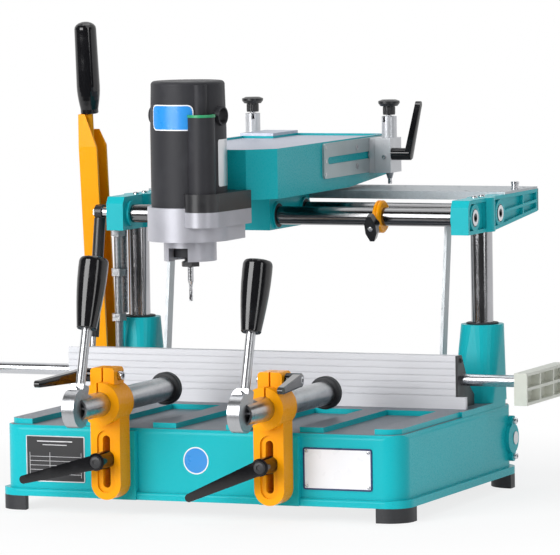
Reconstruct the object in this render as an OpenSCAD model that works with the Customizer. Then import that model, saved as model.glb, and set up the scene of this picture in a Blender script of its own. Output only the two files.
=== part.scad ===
// Duplicating router: a bench-top copy router for window profiles.
// Machine frame: X across the machine, Y from the front flange of the base to the rear,
// Z up from the bench. Each piece is then set back so that the origin is the bottom
// centre of the whole machine.

/* [Base] */
// Width of the bottom flange
flange_w = 580; // [540:1:640]
// Depth of the bottom flange
flange_d = 433; // [415:1:480]
// Height of the bottom flange
flange_h = 10; // [6:1:14]
// How far the flange stands proud of the body
flange_lip = 6; // [3:1:8]
// Corner radius of the base
base_r = 30; // [20:1:40]
// Height of the body's trough floor above the bench
body_top = 113; // [105:1:125]
// Height of the machined lands above the trough floor
land_h = 7; // [3:1:9]
// Width of each machined land
land_w = 33; // [20:1:40]
// Radius of the upper edges of the casting
edge_r = 7; // [3:0.5:8]
// Depth of the troughs from the front of the body
trough_d = 230; // [150:1:235]
// Wall of the casting
wall = 6; // [4:0.5:7]
// Height of the rubber feet
foot_h = 19; // [12:1:26]
// Reach of a rubber foot from its corner of the base
foot_w = 41; // [30:1:46]

/* [Columns and head] */
// Distance of each column from the side edge of the flange
column_side = 36; // [32:1:45]
// Distance of the columns from the rear edge of the flange
column_back = 47; // [43:1:53]
// Diameter of the columns
column_d = 30; // [25:0.5:32]
// Height of the column sockets above the bench
socket_top = 224; // [200:1:240]
// Height of the underside of the head brackets
bracket_z = 349; // [335:1:352]
// Height of the head brackets
bracket_h = 46; // [44:1:60]
// Thickness of the head brackets
bracket_t = 25; // [24:0.5:30]
// Distance from the columns to the front of the brackets
bracket_nose = 80; // [78:1:86]
// Length of the brackets
bracket_len = 272; // [255:1:290]
// Diameter of the two guide bars
bar_d = 25; // [20:0.5:26]
// Half the distance between the guide bars
bar_half = 48.5; // [46:0.5:52]
// Height of the guide bars
bar_z = 371; // [368:1:374]
// Travel of the head
head_travel = 40; // [20:1:40]

/* [Template plate] */
// Length of the template plate, front to back
plate_len = 129; // [100:1:129]
// Thickness of the template plate
plate_t = 3; // [2:0.5:4]
// Height of the folded front flange
plate_flange = 11; // [6:1:14]
// Pitch of the holes in the template plate
hole_pitch = 40; // [30:1:60]
// Diameter of the holes in the template plate
hole_d = 5.5; // [4:0.5:8]

/* [Arm and motor] */
// Middle of the arm from the middle of the machine
arm_x = -58; // [-64:1:-50]
// Width of the arm
arm_w = 184; // [170:1:190]
// Distance from the columns to the front of the arm
arm_nose = 215; // [210:1:221]
// Length of the arm
arm_len = 426; // [410:1:440]
// Underside of the arm at the front
arm_z = 402; // [402:1:404]
// Height of the arm at the front
arm_h = 67; // [60:1:75]
// Rise of the underside to the rear
arm_rise = 10; // [0:1:16]
// Size of the chamfered front corners
arm_chamfer = 32; // [20:1:40]
// Distance of the motor axis from the front of the arm
motor_out = 51; // [50:1:56]
// Radius of the motor housing
motor_r = 50.5; // [46:0.5:52]
// Top of the motor
motor_top = 563; // [540:1:580]
// Diameter of the cutter shank
shank_d = 8; // [6:0.5:8]

/* [Tracer] */
// Distance of the tracer pins from the rear end of the arm
tracer_back = 52; // [45:1:77]
// How much further back the left tracer and its plate sit than the right ones
tracer_left_back = 68; // [66:1:72]
// Distance of a tracer pin from the side of the arm
tracer_out = 25.6; // [23:0.1:28]
// Height of the tracer blocks
tracer_h = 48; // [42:1:49]
// Width of the slot in the tracer plates
slot_w = 10; // [8:0.5:12]
// Diameter of the spring barrels
barrel_d = 21; // [18:0.5:23]

/* [Plunge lever] */
// Distance of the plunge lever from the side edge of the flange
lever_out = 28.5; // [27:0.5:34]
// Diameter of the cross shaft
shaft_d = 18; // [14:0.5:18]
// Height of the cross shaft
shaft_z = 67; // [60:1:72]
// Distance of the cross shaft from the rear edge of the flange
shaft_back = 21; // [20:0.5:22]
// Radius of the crank arms
crank_r = 61.4; // [56:0.1:63]
// Swing of the lever
lever_swing = 38; // [20:1:39]
// Forward lean of the lever at rest
lever_lean = 4.75; // [2:0.25:6]
// Length of the grip
grip_len = 128; // [110:1:140]

/* [Fence and stops] */
// Distance of the fence face from the columns
fence_back = 118; // [114:1:131]
// Height of the fence
fence_h = 71; // [64:1:76]
// How far the left end of the fence passes the flange
fence_out = 19; // [10:1:22]
// Number of ribs on the fence face
fence_ribs = 6; // [4:1:8]
// Diameter of the profile stop rods
stop_d = 16; // [12:0.5:16]
// Height of the stop rods
stop_z = 157.5; // [155:0.5:160]
// Distance of the stop rods behind the fence face
stop_back = 20; // [18:0.5:22]
// Length of a stop block, front to back
stop_len = 160; // [120:1:180]
// Thickness of a stop block
stop_t = 18; // [12:1:24]
// Height of a stop block
stop_h = 43; // [36:1:50]

/* [Clamps] */
// Distance of each clamp from the middle of the machine
clamp_x = 115.5; // [110:0.5:120]
// Height of the clamp tubes
clamp_z = 149; // [146:1:152]
// Width of the clamp brackets
clamp_w = 42; // [38:1:46]
// Thickness of the clamp brackets
clamp_t = 30.7; // [26:0.1:34]
// Outer diameter of the clamp tubes
tube_d = 32; // [28:0.5:34]
// Outer radius of the clamp collars
collar_r = 28; // [26:0.5:30]
// Diameter of the rubber pads
pad_d = 44; // [36:1:46]
// Rear face of the tubes from the front flange
tube_end = 155; // [140:1:160]
// Radius of the cam discs
cam_r = 25.2; // [23:0.1:26]
// Distance of the middle of a cam disc from its pin
cam_e = 6.8; // [5:0.1:7]
// Backward lean of the cam levers at rest
cam_lean = 17; // [10:1:20]
// Width of the adjusting slot
adjust_w = 10.6; // [10.5:0.1:12]

/* [Fits] */
// Radial clearance of a running fit
run = 0.08; // [0.03:0.01:0.1]
// Gap between pieces that move past each other
gap = 0.3; // [0.2:0.05:0.5]

/* [Hidden] */
$fn = 48;

// Colours
teal = [0.10, 0.70, 0.74];
yellow = [0.98, 0.66, 0.02];
steel = [0.74, 0.76, 0.78];
chrome = [0.82, 0.84, 0.86];
black = [0.12, 0.12, 0.13];
grey = [0.24, 0.24, 0.26];
galvanised = [0.62, 0.67, 0.70];
beige = [0.81, 0.82, 0.78];

// Base
body_w = flange_w - 2 * flange_lip;
body_d = flange_d - flange_lip;
table_z = body_top + land_h;
land_in = 4;
land_start = 8;
land_count = 6;
land_pitch = (body_w - land_w - 15) / (land_count - 1);
pad_w = 56;
pad_front = -3;

// Head
column_x = flange_w / 2 - column_side;
column_y = flange_d - column_back;
bracket_front = column_y - bracket_nose;
head_outer = column_x + 11.6;
head_inner = head_outer - bracket_t;
bar_front_y = column_y - 5.5 - bar_half;
bar_rear_y = column_y - 5.5 + bar_half;
bracket_top = bracket_z + bracket_h;
bracket_rear = bracket_front + bracket_len;
column_low = 125;
spigot_d = 16;
spigot_h = 30;
plate_top = bracket_top + plate_t;
plate_front = bracket_rear - plate_len;

// Plunge linkage
lever_x = -flange_w / 2 - lever_out;
lever_len = 441;
shaft_y = flange_d - shaft_back;
crank_rest = lever_swing / 2;
crank_hub_d = 26;
link_x = column_x - 50;
crank_x = link_x + 7.5;
link_t = 4;
link_w = 17;
pin_d = 10;
pin_y = shaft_y - crank_r * cos(crank_rest);
pin_z = shaft_z + crank_r * sin(crank_rest);
link_top_y = column_y + 7;
link_top_z = bar_z - 5;
link_eye = 22;
link_clear = link_eye / 2 + 3;
link_lean = atan((link_top_y - pin_y) / (link_top_z - pin_z));
link_len = sqrt(pow(link_top_y - pin_y, 2) + pow(link_top_z - pin_z, 2));

// Gas spring
gas_x = -flange_w / 2 - 6;
gas_top = [column_y - 34, bar_z];
gas_foot = [column_y - 86, shaft_z + 13];
gas_d = 16;
gas_rod_d = 8;
gas_stud_d = 8;
gas_eye_clear = 0.8;
gas_lean = atan((gas_top[0] - gas_foot[0]) / (gas_top[1] - gas_foot[1]));
gas_len = sqrt(pow(gas_top[0] - gas_foot[0], 2) + pow(gas_top[1] - gas_foot[1], 2));
gas_body_low = 122;

// Depth stop
rod_x = -column_x - 9.5;
rod_y = column_y - 48;
rod_d = 11;
nut_af = 19;
nut_h = 10;
nut_low = 222;
nut_mid = 284;
scale_x = -column_x - 8;
scale_y = column_y - 38;

// Carriage
car_half = 36;
car_front = bracket_front;
car_rear = plate_front - gap;
car_bottom = 352;
car_top = 396;
car_wall = 8;
slider_w = 52;
slider_top = 446;
rod_pitch = 28;
arm_rod_d = 16;
arm_rod_z = 426;
boss_r = 18.5;

// Arm
arm_front = column_y - arm_nose;
arm_top = arm_z + arm_h;
arm_l = arm_x - arm_w / 2;
arm_r = arm_x + arm_w / 2;
arm_rear = arm_front + arm_len;
arm_wall = 7;
arm_cell = (arm_len - arm_chamfer - arm_wall) / 5;

// Motor
motor_y = arm_front - motor_out;
neck_low = 325;
neck_d = 70;
holder_low = 352;
holder_top = 397;
clamp_low = 392;
clamp_top = 416;
rib_at = [arm_x + 35, motor_y - 37];
rib_r = 18;
rib_top = 519;
holder_r = motor_r + 5.5;
rib_clamp_r = rib_r + 6.5;
collar_d = 43.9;

// Tracer
tracer_y = arm_rear - tracer_back;
tracer_plate_t = 3;
tracer_plate_z = 419;
tracer_plate_y = tracer_y - 185;
tracer_slot_y = tracer_plate_y + 14;
tracer_slot_z = tracer_plate_z + tracer_h / 2;
tracer_block_z = 418;
tracer_barrel_top = 496;
tracer_lever_z = tracer_slot_z + 1;
tracer_lever_hub = 27;
tracer_lever_arm = 69;
tracer_lever_tip = 9;
tracer_lever_back = 13;
tracer_left_turn = 120;

// Ear, slot and lever of a clamp
ear_w = 34;
ear_off = -3;
ear_top = 195;
ear_bolt_z = 184;
ear_bolt_y = -18;
stud_z = 75;
stud_d = 10;
clamp_back = pad_front - gap;
clamp_face = clamp_back - clamp_t;
cam_y = -116;
cam_z = clamp_z + 2;
cam_t = 17;
cam_pin_d = 5;
tube_front = cam_y - 7;
plunger_d = 20;
plunger_front = cam_y - cam_e + cam_r + gap;
fork_end = cam_y + cam_r + 4;

// Fence
fence_y = column_y - fence_back;
fence_x = -flange_w / 2 - fence_out;
fence_len = flange_w - 12;
fence_notch = -flange_w / 2 + 10;
fence_plate = 4;

// Reach of the whole machine, which sets the origin
stop_block_l = fence_x - 155;
stop_block_r = fence_x + fence_len + 98;
reach_front = cam_y - cam_e - cam_r;
reach_rear = tracer_y + tracer_left_back - tracer_lever_back
  + tracer_lever_arm * sin(tracer_left_turn) + tracer_lever_tip / 2;
origin = [(stop_block_l + stop_block_r) / 2, (reach_front + reach_rear) / 2, 0];

// Helpers
module place() { translate(-origin) children(); }
module rbox2(x0, x1, y0, y1, r) {
  translate([x0 + r, y0]) square([x1 - x0 - 2 * r, y1 - y0]);
  translate([x0, y0 + r]) square([x1 - x0, y1 - y0 - 2 * r]);
  for (x = [x0 + r, x1 - r], y = [y0 + r, y1 - r]) translate([x, y]) circle(r);
}
module box(x0, x1, y0, y1, z0, z1) {
  translate([x0, y0, z0]) cube([x1 - x0, y1 - y0, z1 - z0]);
}
module along_x(x0, x1, y, z, d) {
  translate([x0, y, z]) rotate([0, 90, 0]) cylinder(d = d, h = x1 - x0);
}
module along_y(x, y0, y1, z, d) {
  translate([x, y0, z]) rotate([-90, 0, 0]) cylinder(d = d, h = y1 - y0);
}
// A profile drawn in Y and Z, pushed along X
module side_profile(x0, x1) {
  translate([x0, 0, 0]) rotate([90, 0, 90]) linear_extrude(x1 - x0) children();
}
// A profile drawn in X and Z, pushed along Y
module front_profile(y0, y1) {
  translate([0, y1, 0]) rotate([90, 0, 0]) linear_extrude(y1 - y0) children();
}
// A profile with rounded upper corners
module round_top(x0, x1, z0, z1, r) {
  translate([x0, z0]) square([x1 - x0, z1 - z0 - r]);
  translate([x0 + r, z0]) square([x1 - x0 - 2 * r, z1 - z0]);
  for (x = [x0 + r, x1 - r]) translate([x, z1 - r]) circle(r);
}
// A body with a rounded plan and rounded upper edges
module round_body(w, y0, y1, z0, z1, plan_r, r) intersection() {
  translate([0, 0, z0]) linear_extrude(z1 - z0) rbox2(-w / 2, w / 2, y0, y1, plan_r);
  front_profile(y0 - 1, y1 + 1) round_top(-w / 2, w / 2, z0, z1, r);
  side_profile(-w / 2 - 1, w / 2 + 1) round_top(y0, y1, z0, z1, r);
}
module hex_nut(af, h, bore) {
  difference() {
    cylinder(d = af / cos(30), h = h, $fn = 6);
    translate([0, 0, -1]) cylinder(d = bore, h = h + 2);
  }
}
// A ratchet lever with its stud along +Z, its hub on z = 0 and its arm along +X
module ratchet_lever(stud_len, hub_d, hub_h, arm_len, arm_tilt, tip_d) {
  translate([0, 0, -stud_len]) cylinder(d = stud_d * hub_d / 24, h = stud_len + 1);
  cylinder(d = hub_d, h = hub_h);
  translate([0, 0, hub_h - tip_d * 0.75]) hull() {
    cylinder(d = hub_d * 0.86, h = tip_d * 0.9, $fn = 32);
    translate([arm_len, 0, arm_len * sin(arm_tilt)]) cylinder(d = tip_d, h = tip_d * 0.8, $fn = 32);
  }
}

module base_casting() color(teal) place() difference() {
  union() {
    round_body(flange_w, 0, flange_d, foot_h, foot_h + flange_h, base_r, flange_h / 3);
    round_body(body_w, flange_lip, body_d, foot_h, body_top, base_r - 2, edge_r);
    // Machined lands and the rear table
    intersection() {
      translate([0, 0, body_top - 1]) linear_extrude(land_h + 1)
        rbox2(-body_w / 2 + land_in, body_w / 2 - land_in, flange_lip + land_start,
          body_d - land_in, base_r - 5);
      union() {
        for (i = [0 : land_count - 1])
          translate([(i - (land_count - 1) / 2) * land_pitch - land_w / 2, 0, body_top - 2])
            cube([land_w, trough_d + flange_lip + 1, land_h + 4]);
        box(-body_w / 2, body_w / 2, flange_lip + trough_d, flange_d, body_top - 2, table_z + 1);
      }
    }
    // Guide pads for the clamp brackets
    for (s = [-1, 1])
      box(s * clamp_x - pad_w / 2, s * clamp_x + pad_w / 2, pad_front, flange_lip + edge_r,
        foot_h, body_top - edge_r / 2);
    // Bosses over the crank hubs
    for (s = [-1, 1])
      along_x(s * crank_x - 12, s * crank_x + 12, shaft_y, shaft_z, crank_hub_d + 12);
  }
  // Open underside
  translate([0, 0, foot_h - 1]) linear_extrude(body_top - wall - foot_h + 1)
    rbox2(-body_w / 2 + wall, body_w / 2 - wall, flange_lip + wall, body_d - wall, base_r - wall);
  // Room for the crank hubs
  for (s = [-1, 1])
    along_x(s * crank_x - 5, s * crank_x + 5, shaft_y, shaft_z, crank_hub_d + 2);
  // Column bores
  for (s = [-1, 1]) translate([s * column_x, column_y, 50]) cylinder(d = column_d + 2, h = 100);
  // Hole for the depth rod
  translate([rod_x, rod_y, 50]) cylinder(d = rod_d + 2, h = 100);
  // Slots for the link bars
  for (s = [-1, 1]) box(s * link_x - 6, s * link_x + 6, pin_y - 10, pin_y + 24, 50, 150);
  // Bores for the cross shaft bearings
  along_x(-flange_w, flange_w, shaft_y, shaft_z, shaft_d + 2);
  // Threaded holes of the height levers
  for (s = [-1, 1]) along_y(s * clamp_x, pad_front - 1, 40, stud_z, stud_d + 2 * run);
}

module rubber_feet() color(black) place() intersection() {
  linear_extrude(foot_h) rbox2(-flange_w / 2, flange_w / 2, 0, flange_d, base_r);
  for (x = [-flange_w / 2, flange_w / 2], y = [0, flange_d]) translate([x, y, 0])
    cylinder(r = foot_w, h = foot_h);
}

module socket_solid() {
  hull() {
    translate([0, 0, socket_top - 4]) cylinder(r = 29, h = 4, $fn = 32);
    translate([0, 0, table_z]) linear_extrude(1) rbox2(-31, 26, -44, 33, 15, $fn = 32);
  }
}
module column_sockets() color(teal) place() difference() {
  union() {
    for (s = [-1, 1]) translate([s * column_x, column_y, 0]) mirror([s < 0 ? 1 : 0, 0, 0])
      socket_solid();
    // Lug that stops the nut of the depth rod
    box(rod_x - 11, rod_x + 11, rod_y - 7, rod_y + 20, table_z,
      nut_low - head_travel - gap);
  }
  for (s = [-1, 1]) translate([s * column_x, column_y, table_z - 1])
    cylinder(d = column_d + 2 * run, h = 200);
  translate([rod_x, rod_y, table_z - 1]) cylinder(d = rod_d + 1.5, h = 100);
}

// Side outline of the fence in Y and Z, measured from its face and the table
module fence_outline() polygon([
  [0, 0], [62, 0], [62, 14], [34, 36], [31, 46], [16, fence_h], [0, fence_h]
]);
module fence_cavities() {
  polygon([[7, 22], [7, 30], [25, 24], [48, 14], [48, 5], [7, 5]]);
  polygon([[4, fence_h - 4], [13, fence_h - 4], [21, 52], [4, 52]]);
}
module fence_profile() color(steel) place() difference() {
  union() {
    side_profile(fence_x, fence_x + fence_len) translate([fence_y, table_z]) fence_outline();
    side_profile(fence_x, fence_x + fence_len + 14) translate([fence_y, table_z])
      square([6, 16]);
  }
  side_profile(fence_x - 1, fence_x + fence_len + 1) translate([fence_y, table_z])
    fence_cavities();
  for (i = [0 : fence_ribs - 1])
    box(fence_x - 1, fence_x + fence_len + 20, fence_y - 1, fence_y + 1.6,
      table_z + 17 + i * 9, table_z + 18.4 + i * 9);
  along_x(fence_x - 1, fence_x + fence_len + 1, fence_y + stop_back, stop_z,
    stop_d + 2 * run);
  // Notch behind the face, past which the gas spring runs
  box(fence_x - 1, fence_notch, fence_y + fence_plate, fence_y + 80, table_z - 1,
    table_z + fence_h + 1);
}
module fence_end_caps() color(grey) place() for (left = [0, 1]) {
  x = left == 1 ? fence_notch - 3 : fence_x + fence_len;
  difference() {
    side_profile(x, x + 3) translate([fence_y, table_z]) difference() {
      fence_outline();
      translate([-1, -1]) square([left == 1 ? fence_plate + 1 + gap : 7.3, left == 1 ? 80 : 17.3]);
    }
    along_x(x - 1, x + 4, fence_y + stop_back, stop_z, stop_d + 2 * run);
  }
}

// Scale strip that hangs from the left bracket in front of the socket
module depth_scale() color(steel) place() difference() {
  box(scale_x, scale_x + 7.5, scale_y, scale_y + 2, socket_top + 8, bracket_z);
  for (i = [0 : 9]) box(scale_x + 4, scale_x + 8, scale_y - 1, scale_y + 0.4,
    socket_top + 16 + i * 10, socket_top + 16.8 + i * 10);
}

// Side outline of a shaft bearing: a round hub with two screw lobes
module bearing_outline() {
  circle(d = 40);
  for (s = [-1, 1]) translate([0, s * 24]) circle(d = 14);
  translate([-7, -24]) square([14, 48]);
}
module shaft_bearings() color(teal) place() for (s = [-1, 1]) difference() {
  side_profile(s > 0 ? body_w / 2 : -body_w / 2 - 6, s > 0 ? body_w / 2 + 6 : -body_w / 2)
    translate([shaft_y - 6, shaft_z]) bearing_outline();
  along_x(-flange_w, flange_w, shaft_y, shaft_z, shaft_d + 2 * run);
  for (t = [-1, 1]) along_x(-flange_w, flange_w, shaft_y - 6, shaft_z + t * 24, 5);
}
module gas_stud_lower() color(steel) place() {
  along_x(gas_x - 8.2, -body_w / 2, gas_foot[0], gas_foot[1], gas_stud_d);
  along_x(gas_x + 5.3, -body_w / 2, gas_foot[0], gas_foot[1], 14);
  translate([gas_x - 8.2, gas_foot[0], gas_foot[1]]) rotate([0, 90, 0])
    cylinder(d = 15, h = 3, $fn = 6);
}

// Cross shaft with two crank arms
module crank_shaft() color(steel) place() {
  along_x(lever_x - 17, body_w / 2 + 7, shaft_y, shaft_z, shaft_d);
  for (s = [-1, 1]) {
    x0 = s * crank_x - 4;
    translate([x0, shaft_y, shaft_z]) rotate([180 - crank_rest, 0, 0]) side_profile(0, 8) {
      difference() {
        union() {
          circle(d = crank_hub_d);
          translate([0, -9]) square([crank_r, 18]);
          translate([crank_r, 0]) circle(d = 18);
        }
        circle(d = shaft_d - 1);
      }
    }
    along_x(min(s * (link_x + 9), s * (link_x - 6)), max(s * (link_x + 9), s * (link_x - 6)),
      pin_y, pin_z, pin_d);
  }
}

// The plunge lever: a folded channel, open to the right, on a hub
module lever_frame() translate([lever_x, shaft_y, shaft_z]) rotate([lever_lean, 0, 0]) children();
module plunge_lever() color(yellow) place() lever_frame() difference() {
  union() {
    difference() {
      translate([-13.5, -17.5, -20]) cube([27, 35, lever_len + 20]);
      translate([-9.5, -13.5, -21]) cube([30, 27, lever_len + 30]);
      // Diagonal cut of the free edges towards the grip
      translate([13.5, -20, lever_len - 46]) rotate([0, -20, 0]) cube([30, 40, 70]);
      translate([-15, 0, 0]) side_profile(0, 40)
        polygon([[-30, lever_len - 46], [-17.6, lever_len - 46], [-13.6, lever_len + 1],
          [-30, lever_len + 1]]);
      translate([-15, 0, 0]) side_profile(0, 40)
        polygon([[30, lever_len - 46], [17.6, lever_len - 46], [9, lever_len + 1],
          [30, lever_len + 1]]);
    }
    translate([-13.5, 0, 0]) rotate([0, 90, 0]) cylinder(d = 30, h = 29);
    translate([-9.5, -13.5, lever_len - 60]) cube([8, 24, 6]);
    translate([-3.5, 0, lever_len - 60]) cylinder(d = 12, h = 60 + grip_len - 20);
  }
  translate([-20, 0, 0]) rotate([0, 90, 0]) cylinder(d = shaft_d + 0.02, h = 60);
}
module lever_grip() color(black) place() lever_frame() translate([-2, 0, lever_len])
  difference() {
    rotate_extrude() polygon(concat([[0, 0], [11.5, 0], [12.4, 1]],
      [for (t = [0 : 0.2 : 1]) [12.4 + 3.8 * sin(90 * t), 6 + 32 * t]],
      [[15.2, grip_len - 10]],
      [for (a = [0 : 18 : 90]) [15.2 * cos(a), grip_len - 10 + 10 * sin(a)]]));
    translate([-1.5, 0, -1]) cylinder(d = 12.02, h = grip_len - 19);
  }

module columns() color(chrome) place() for (s = [-1, 1])
  translate([s * column_x, column_y, 0]) {
    translate([0, 0, column_low]) cylinder(d = column_d, h = bracket_z - column_low);
    translate([0, 0, bracket_z]) cylinder(d = spigot_d, h = spigot_h);
  }

// Side outline of a head bracket in Y and Z, with a grown edge when r is positive
module bracket_outline(in = 0) polygon([
  [bracket_front + in, bracket_z + in], [column_y + 20, bracket_z + in],
  [bracket_rear - in, bracket_z + 15 + in], [bracket_rear - in, bracket_top - in],
  [bracket_front + 6 + in, bracket_top - in], [bracket_front + in, bracket_top - 9 - in]
]);
module bracket_pocket() difference() {
  bracket_outline(5);
  for (y = [bar_front_y, bar_rear_y]) translate([y, bar_z]) circle(d = 36);
  translate([column_y - 13, bracket_z]) square([26, bracket_h]);
  for (y = [bar_rear_y - 2, bracket_rear - 60]) translate([y, bracket_z]) square([4, bracket_h]);
  translate([bar_rear_y, bar_z]) rotate(3) translate([0, -2]) square([150, 4]);
  translate([bracket_front, bar_z - 2]) square([30, 4]);
}
// Bracket of the right side; the left one is its mirror image
module bracket_right() difference() {
  union() {
    side_profile(head_inner, head_outer) bracket_outline();
    translate([column_x, column_y, bracket_z]) cylinder(d = 38, h = bracket_h);
    along_x(link_x - 3, head_inner + 1, link_top_y, link_top_z, 12);
    for (y = [bar_front_y, bar_rear_y]) along_x(head_inner - 4, head_inner + 1, y, bar_z, 36);
  }
  side_profile(head_outer - 5, head_outer + 1) bracket_pocket();
  for (y = [bar_front_y, bar_rear_y])
    along_x(head_inner - 10, head_outer + 10, y, bar_z, bar_d + 0.02);
  translate([column_x, column_y, bracket_z - 1]) cylinder(d = spigot_d + 0.02, h = spigot_h + 1);
  translate([column_x, column_y, bracket_z]) cylinder(d = 6.6, h = 100);
  translate([column_x, column_y, bracket_top - 7]) cylinder(d = 12, h = 10);
}
module head_bracket_right() color(teal) place() bracket_right();
module head_bracket_left() color(teal) place() difference() {
  mirror([1, 0, 0]) bracket_right();
  translate([rod_x, rod_y, bracket_z - 1]) cylinder(d = rod_d, h = 9);
  along_x(-head_outer - 1, -head_outer + 12, gas_top[0], gas_top[1], gas_stud_d);
}
module guide_bars() color(chrome) place() for (y = [bar_front_y, bar_rear_y]) difference() {
  along_x(-head_outer + 1, head_outer - 1, y, bar_z, bar_d);
  for (x = [-head_outer, head_outer - 7]) translate([x, y, bar_z]) rotate([0, 90, 0])
    cylinder(d = 8 / cos(30), h = 7, $fn = 6);
}
module template_plate() color(galvanised) place() difference() {
  union() {
    box(-head_outer, head_outer, plate_front, bracket_rear, bracket_top, plate_top);
    box(-head_inner + 5, head_inner - 5, plate_front, plate_front + plate_t,
      plate_top - plate_flange, plate_top);
  }
  for (x = [-5 * hole_pitch : hole_pitch : 5 * hole_pitch], y = [28, 104])
    translate([x, bracket_rear - y, bracket_top - 1]) cylinder(d = hole_d, h = plate_t + 2);
  for (s = [-1, 1], y = [plate_front + 20, bracket_rear - 20])
    translate([s * (head_outer - 12), y, bracket_top - 1]) cylinder(d = 6.5, h = plate_t + 2);
}
module bracket_end_caps() color(black) place() for (x = [-head_outer, head_inner])
  box(x, x + bracket_t, bracket_rear, bracket_rear + 3, bracket_z + 16, bracket_top);
module depth_rod() color(steel) place() translate([rod_x, rod_y, 0]) {
  translate([0, 0, 105]) cylinder(d = rod_d, h = bracket_z + 8 - 105);
  for (z = [nut_low, nut_mid, bracket_z - nut_h]) translate([0, 0, z])
    hex_nut(nut_af, nut_h, rod_d - 1);
}
// A link bar hangs from the bracket's stud and holds the crank pin in its slotted foot
module link_bar(s) translate([s * link_x - link_t / 2, link_top_y, link_top_z])
  rotate([-link_lean, 0, 0]) difference() {
    side_profile(0, link_t) {
      translate([-link_w / 2, -link_len]) square([link_w, link_len]);
      circle(d = link_eye);
      translate([0, -link_len]) circle(d = 25);
    }
    along_x(-1, link_t + 1, 0, 0, 12.02);
    translate([0, 0, -link_len]) rotate([link_lean, 0, 0]) side_profile(-1, link_t + 1) {
      translate([-5, -pin_d / 2 - 0.7]) square([6.5, pin_d + 1.4]);
      for (y = [-5, 1.5]) translate([y, 0]) circle(d = pin_d + 1.4);
    }
  }
module link_bars() color(steel) place() { link_bar(-1); link_bar(1); }
module gas_stud_upper() color(steel) place() {
  along_x(gas_x - 8.2, -head_outer + 11, gas_top[0], gas_top[1], gas_stud_d);
  along_x(gas_x + 5.3, -head_outer, gas_top[0], gas_top[1], 15);
  translate([gas_x - 8.2, gas_top[0], gas_top[1]]) rotate([0, 90, 0])
    cylinder(d = 15, h = 3, $fn = 6);
}

ring_x = 130;
knob_dip = 20;
module knob_frame() translate([ring_x, bar_front_y, bar_z]) rotate([knob_dip, 0, 0]) children();
module stop_ring() color(yellow) place() difference() {
  translate([ring_x, bar_front_y, bar_z]) rotate([0, 90, 0]) rotate_extrude() polygon([
    [bar_d / 2 - 2, -5], [20, -5], [22, -3.4], [22, -1.2], [20.6, 0], [22, 1.2], [22, 3.4], [20, 5],
    [bar_d / 2 - 2, 5]]);
  along_x(ring_x - 6, ring_x + 6, bar_front_y, bar_z, bar_d + 2 * run);
  knob_frame() along_y(0, -30, 0, 0, 6.2);
}
module stop_ring_knob() color(black) place() knob_frame() {
  along_y(0, -30, -bar_d / 2 - gap, 0, 6);
  along_y(0, -42, -22 - gap, 0, 13);
  // Wing of the thumb screw
  front_profile(-42, -31) polygon([[-3, -18], [3, -18], [8, -7], [8, 7], [3, 18], [-3, 18],
    [-8, 7], [-8, -7]]);
}

module carriage() color(teal) place() difference() {
  union() {
    box(arm_x - car_half, arm_x + car_half, car_front, car_rear, car_bottom, car_top);
    for (y = [bar_front_y, bar_rear_y])
      along_x(arm_x - car_half - 3, arm_x + car_half + 3, y, bar_z, 2 * boss_r);
  }
  for (y = [bar_front_y, bar_rear_y])
    along_x(arm_x - car_half - 10, arm_x + car_half + 10, y, bar_z, bar_d + 2 * run);
  // Window between the two bars
  box(arm_x - car_half + car_wall, arm_x + car_half - car_wall, bar_front_y + boss_r + 3,
    bar_rear_y - boss_r - 3, 340, 392);
  // Notch of the left wall, which passes over the link bar and its stud at the end of the travel
  box(arm_x - car_half - 1, arm_x - car_half + car_wall + 1, link_top_y - link_clear,
    link_top_y + link_clear, car_bottom - 1, link_top_z + link_clear);
}
// Block that stands on the carriage and runs on the rods inside the arm
module carriage_slider() color(steel) place() difference() {
  box(arm_x - slider_w / 2, arm_x + slider_w / 2, car_front, car_rear, car_top, slider_top);
  for (s = [-1, 1]) along_y(arm_x + s * rod_pitch / 2, car_front - 1, car_rear + 1, arm_rod_z,
    arm_rod_d + 2 * run);
  for (y = [car_front + 24, car_rear - 24]) translate([arm_x, y, car_top - 1])
    cylinder(d = 7, h = 60);
}

// Side outline of the arm in Y and Z
module arm_outline() polygon([
  [arm_front, arm_z], [car_rear + 8, arm_z], [arm_rear, arm_z + arm_rise],
  [arm_rear, arm_top], [arm_front, arm_top]
]);
module arm_plan(in = 0) polygon([
  [arm_l + in, arm_rear - in], [arm_l + in, arm_front + arm_chamfer + in],
  [arm_l + arm_chamfer + in, arm_front + in], [arm_r - arm_chamfer - in, arm_front + in],
  [arm_r - in, arm_front + arm_chamfer + in], [arm_r - in, arm_rear - in]
]);
module arm_casting() color(teal) place() difference() {
  union() {
    intersection() {
      side_profile(arm_l, arm_r) arm_outline();
      translate([0, 0, arm_z - 1]) linear_extrude(arm_h + 2) arm_plan();
    }
    // Raised pad at the rear left
    box(arm_l, arm_l + 50, arm_rear - 90, arm_rear, arm_top - 4, arm_top + 4);
  }
  // Sunk top between the rims
  translate([0, 0, arm_top - 3]) linear_extrude(4) difference() {
    arm_plan(4);
    translate([arm_l - 1, arm_rear - 90]) square([51, 91]);
  }
  // Channel for the slider and its two rods, open below
  box(arm_x - slider_w / 2 - 4, arm_x + slider_w / 2 + 4, arm_front + 12, arm_rear - 10,
    arm_z - 1, slider_top + 6);
  for (s = [-1, 1]) along_y(arm_x + s * rod_pitch / 2, arm_front + 3, arm_rear - 3, arm_rod_z,
    arm_rod_d + 0.02);
  // Cells of the casting beside the channel, open below
  for (s = [-1, 1], i = [0 : 4]) {
    y0 = arm_front + arm_chamfer + arm_wall + i * arm_cell;
    box(min(arm_x + s * 37, arm_x + s * (arm_w / 2 - arm_wall)),
      max(arm_x + s * 37, arm_x + s * (arm_w / 2 - arm_wall)),
      y0, y0 + arm_cell - arm_wall, arm_z - 1, arm_top - 3 - arm_wall);
  }
}
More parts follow.
